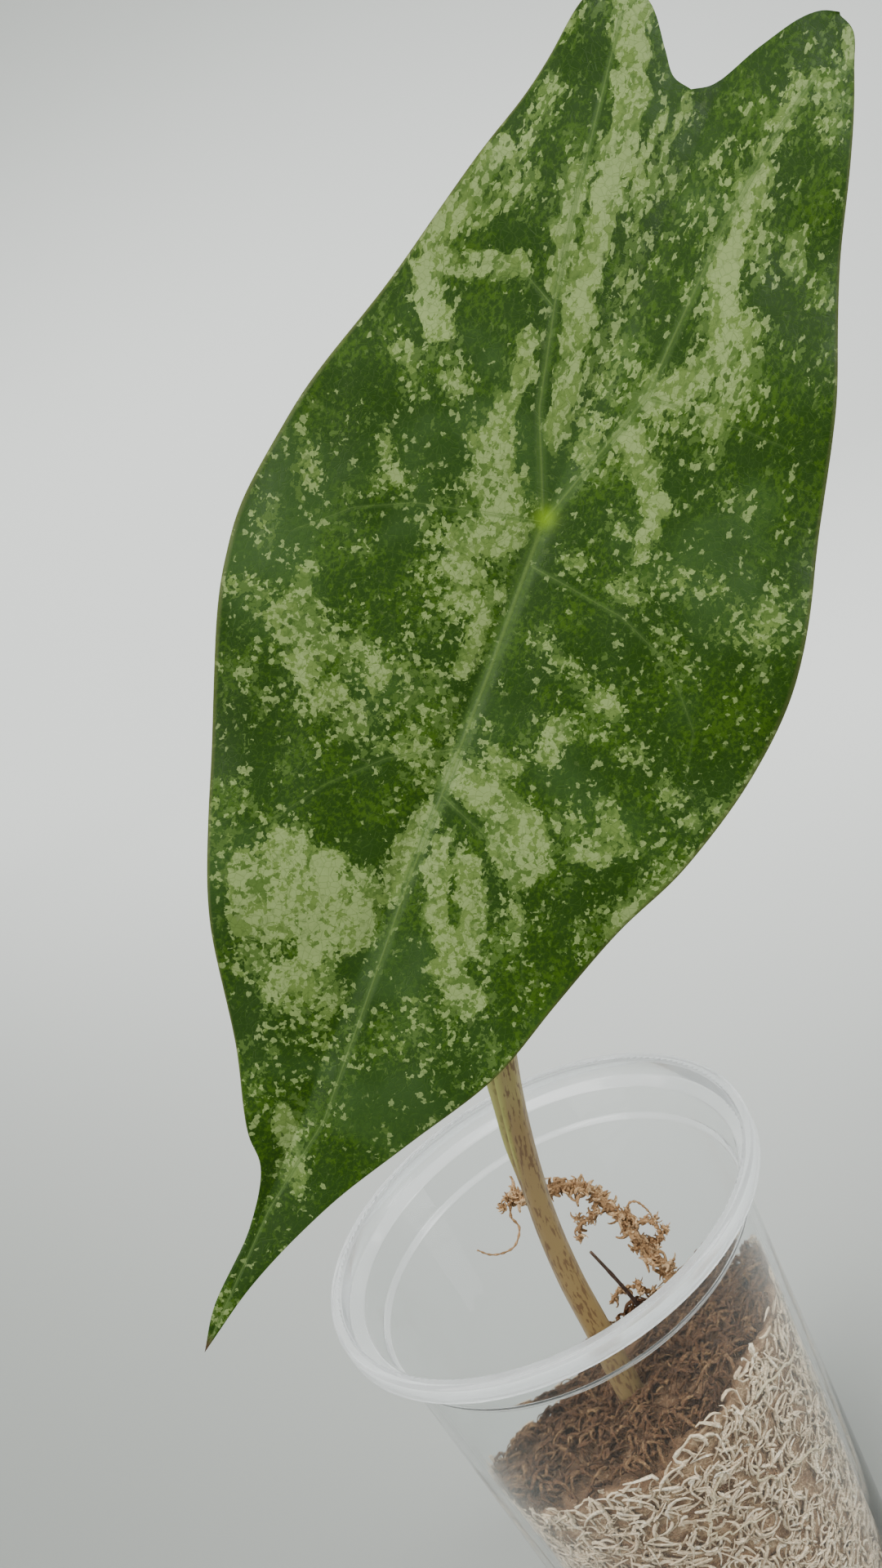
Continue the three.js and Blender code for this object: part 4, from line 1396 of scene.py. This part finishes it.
    def build(self, finish: Material) -> None:
        """Lifts the sheet into its upper and lower face and closes it round its rim.

        Args:
            finish: The blade's material.
        """
        a, b, share, faces = self.sheet()
        along, across, out = self.axes()
        half = self.thickness / 2 * (1 - 0.45 * share**6)
        middle = self.relief(a, b, share)
        flat = np.array(self.centre) + a[:, None] * along + b[:, None] * across
        top = flat + (middle + half)[:, None] * out
        back = flat + (middle - half - self.rib(a, b))[:, None] * out
        count = len(a)
        edges = faces[:, [0, 1, 1, 2, 2, 0]].reshape(-1, 2)
        forward = edges[:, 0] * count + edges[:, 1]
        rim = edges[~np.isin(forward, edges[:, 1] * count + edges[:, 0])]
        s, e = rim.T
        wall = [np.stack(corners, 1) for corners in ((s, s + count, e + count), (s, e + count, e))]
        points = np.vstack([top, back])
        faces = outward(points, np.concatenate([faces, faces[:, ::-1] + count, *wall]))
        values = self.markings(a, b, share) | {"along": self.grain(a) / 100, "across": b / 100}
        values = {key: np.tile(numbers, 2) for key, numbers in values.items()}
        values["under"] = np.array([0, 1])
        uv = np.tile(np.stack([a, b], 1) / 100, (2, 1))
        made = piece("variegated_blade", points, faces, finish, values, uv)
        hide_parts("leaf_blade")


# Studio


@dataclass(frozen=True)
class Lamp:
    """A rectangular lamp: its place, aim and size in metres, its power in watts, its colour."""

    name: str
    place: tuple
    aim: tuple
    size: tuple
    power: float
    colour: tuple

    def build(self) -> None:
        """Hangs the lamp and turns it to its aim."""
        data = bpy.data.lights.new(self.name, "AREA")
        data.shape, data.size, data.size_y = "RECTANGLE", *self.size
        data.energy, data.color = self.power, self.colour
        made = bpy.data.objects.new(self.name, data)
        made.location = self.place
        way = Vector(self.aim) - Vector(self.place)
        made.rotation_euler = way.to_track_quat("-Z", "Y").to_euler()
        bpy.context.scene.collection.objects.link(made)


@dataclass
class Studio:
    """Floor and curved backdrop, soft lights and the camera."""

    eye: tuple = (29.0, -307.0, 341.0)
    pitch: float = 16.5
    roll: float = 28.2
    lens: float = 31.875
    sensor: float = 36.0
    air: tuple = (0.9, 0.93, 0.95, 1)
    air_strength: float = 0.6
    lamps: tuple = tuple(Lamp(*row) for row in (
        ("overhead", (-0.5, -0.5, 1.7), (0.05, 0.1, 0.15), (1.6, 1.6), 36, (1.0, 0.99, 0.97)),
        ("right window", (1.2, -0.5, 0.7), (0.05, 0, 0.1), (0.5, 1.4), 15, (0.97, 0.99, 1.0)),
        ("left fill", (-1.3, -0.8, 0.8), (0.0, 0, 0.2), (1.0, 1.2), 12, (1.0, 1.0, 1.0)),
        ("wall wash", (0.0, 0.8, 1.6), (0.0, 2.4, 0.3), (2.4, 0.4), 22, (1.0, 1.0, 1.0)),
    ))

    def camera(self) -> None:
        """Looks along +Y, tipped down by the pitch and rolled about its own axis."""
        data = bpy.data.cameras.new("camera")
        data.lens, data.sensor_width, data.clip_start = self.lens, self.sensor, 0.01
        made = bpy.data.objects.new("camera", data)
        made.location = [c * MM for c in self.eye]
        made.rotation_mode = "XYZ"
        pitch, roll = math.radians(self.pitch), math.radians(self.roll)
        forward = np.array([0, math.cos(pitch), -math.sin(pitch)])
        level = np.array([1.0, 0, 0])
        up = np.cross(level, forward)
        right = math.cos(roll) * level - math.sin(roll) * up
        top = math.sin(roll) * level + math.cos(roll) * up
        turn = Matrix(np.stack([right, top, -forward], axis=1).tolist())
        made.rotation_euler = turn.to_euler()
        bpy.context.scene.collection.objects.link(made)
        bpy.context.scene.camera = made

    def backdrop(self) -> None:
        """A sheet that runs flat along the floor and bends up behind in a quarter circle."""
        bend, front, back, high, side, sunk = 1.1, -4.0, 1.3, 3.5, 4.0, 0.0002
        turn = np.linspace(0, math.pi / 2, 24)
        y = np.concatenate([[front, 0.0], back + bend * np.sin(turn), [back + bend]])
        z = np.concatenate([[0.0, 0.0], bend * (1 - np.cos(turn)), [high]]) - sunk
        points = [(x, *place) for x in (-side, side) for place in zip(y, z)]
        n = len(y)
        faces = [(n + i, n + i + 1, i + 1, i) for i in range(n - 1)]
        mesh = bpy.data.meshes.new("backdrop")
        mesh.from_pydata(points, [], faces)
        mesh.shade_smooth()
        mesh.materials.append(StudioFinish().make())
        made = bpy.data.objects.new("backdrop", mesh)
        bpy.context.scene.collection.objects.link(made)

    def build(self) -> None:
        """Sets up everything that isn't part of the plant."""
        self.camera()
        self.backdrop()
        for lamp in self.lamps:
            lamp.build()
        world = bpy.data.worlds.new("studio air")
        world.use_nodes = True
        inputs = world.node_tree.nodes["Background"].inputs
        inputs["Color"].default_value = self.air
        inputs["Strength"].default_value = self.air_strength
        bpy.context.scene.world = world


def dress_frame_nodes() -> None:
    """Gives the corm and roots, which keep their solid, a fibrous finish."""
    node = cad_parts["corm_and_roots"]
    node.data.materials.clear()
    node.data.materials.append(FibreFinish(MossTone.BED).make())


def main() -> None:
    """Builds the studio, then the plant from the cup up."""
    Studio().build()
    cup = Cup()
    cup.build()
    moss = Moss(cup)
    moss.bed(FibreFinish(MossTone.BED).make())
    moss.strands_on_top(FibreFinish(MossTone.TAN).make())
    moss.strands_on_wall(FibreFinish(MossTone.PALE).make())
    moss.roots_on_wall(FibreFinish(MossTone.ROOT).make())
    Sprig(cup).build(FibreFinish(MossTone.SPRIG).make())
    Twig().build(FibreFinish(MossTone.TWIG).make())
    leaf = Leaf()
    Stalk(leaf.centre).build(StalkFinish().make(), leaf.axes()[2])
    leaf.build(LeafFinish().make(speckle_group()))
    dress_frame_nodes()
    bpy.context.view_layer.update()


if __name__ == "__main__":
    logging.basicConfig(level=logging.INFO, format="%(message)s")
    main()
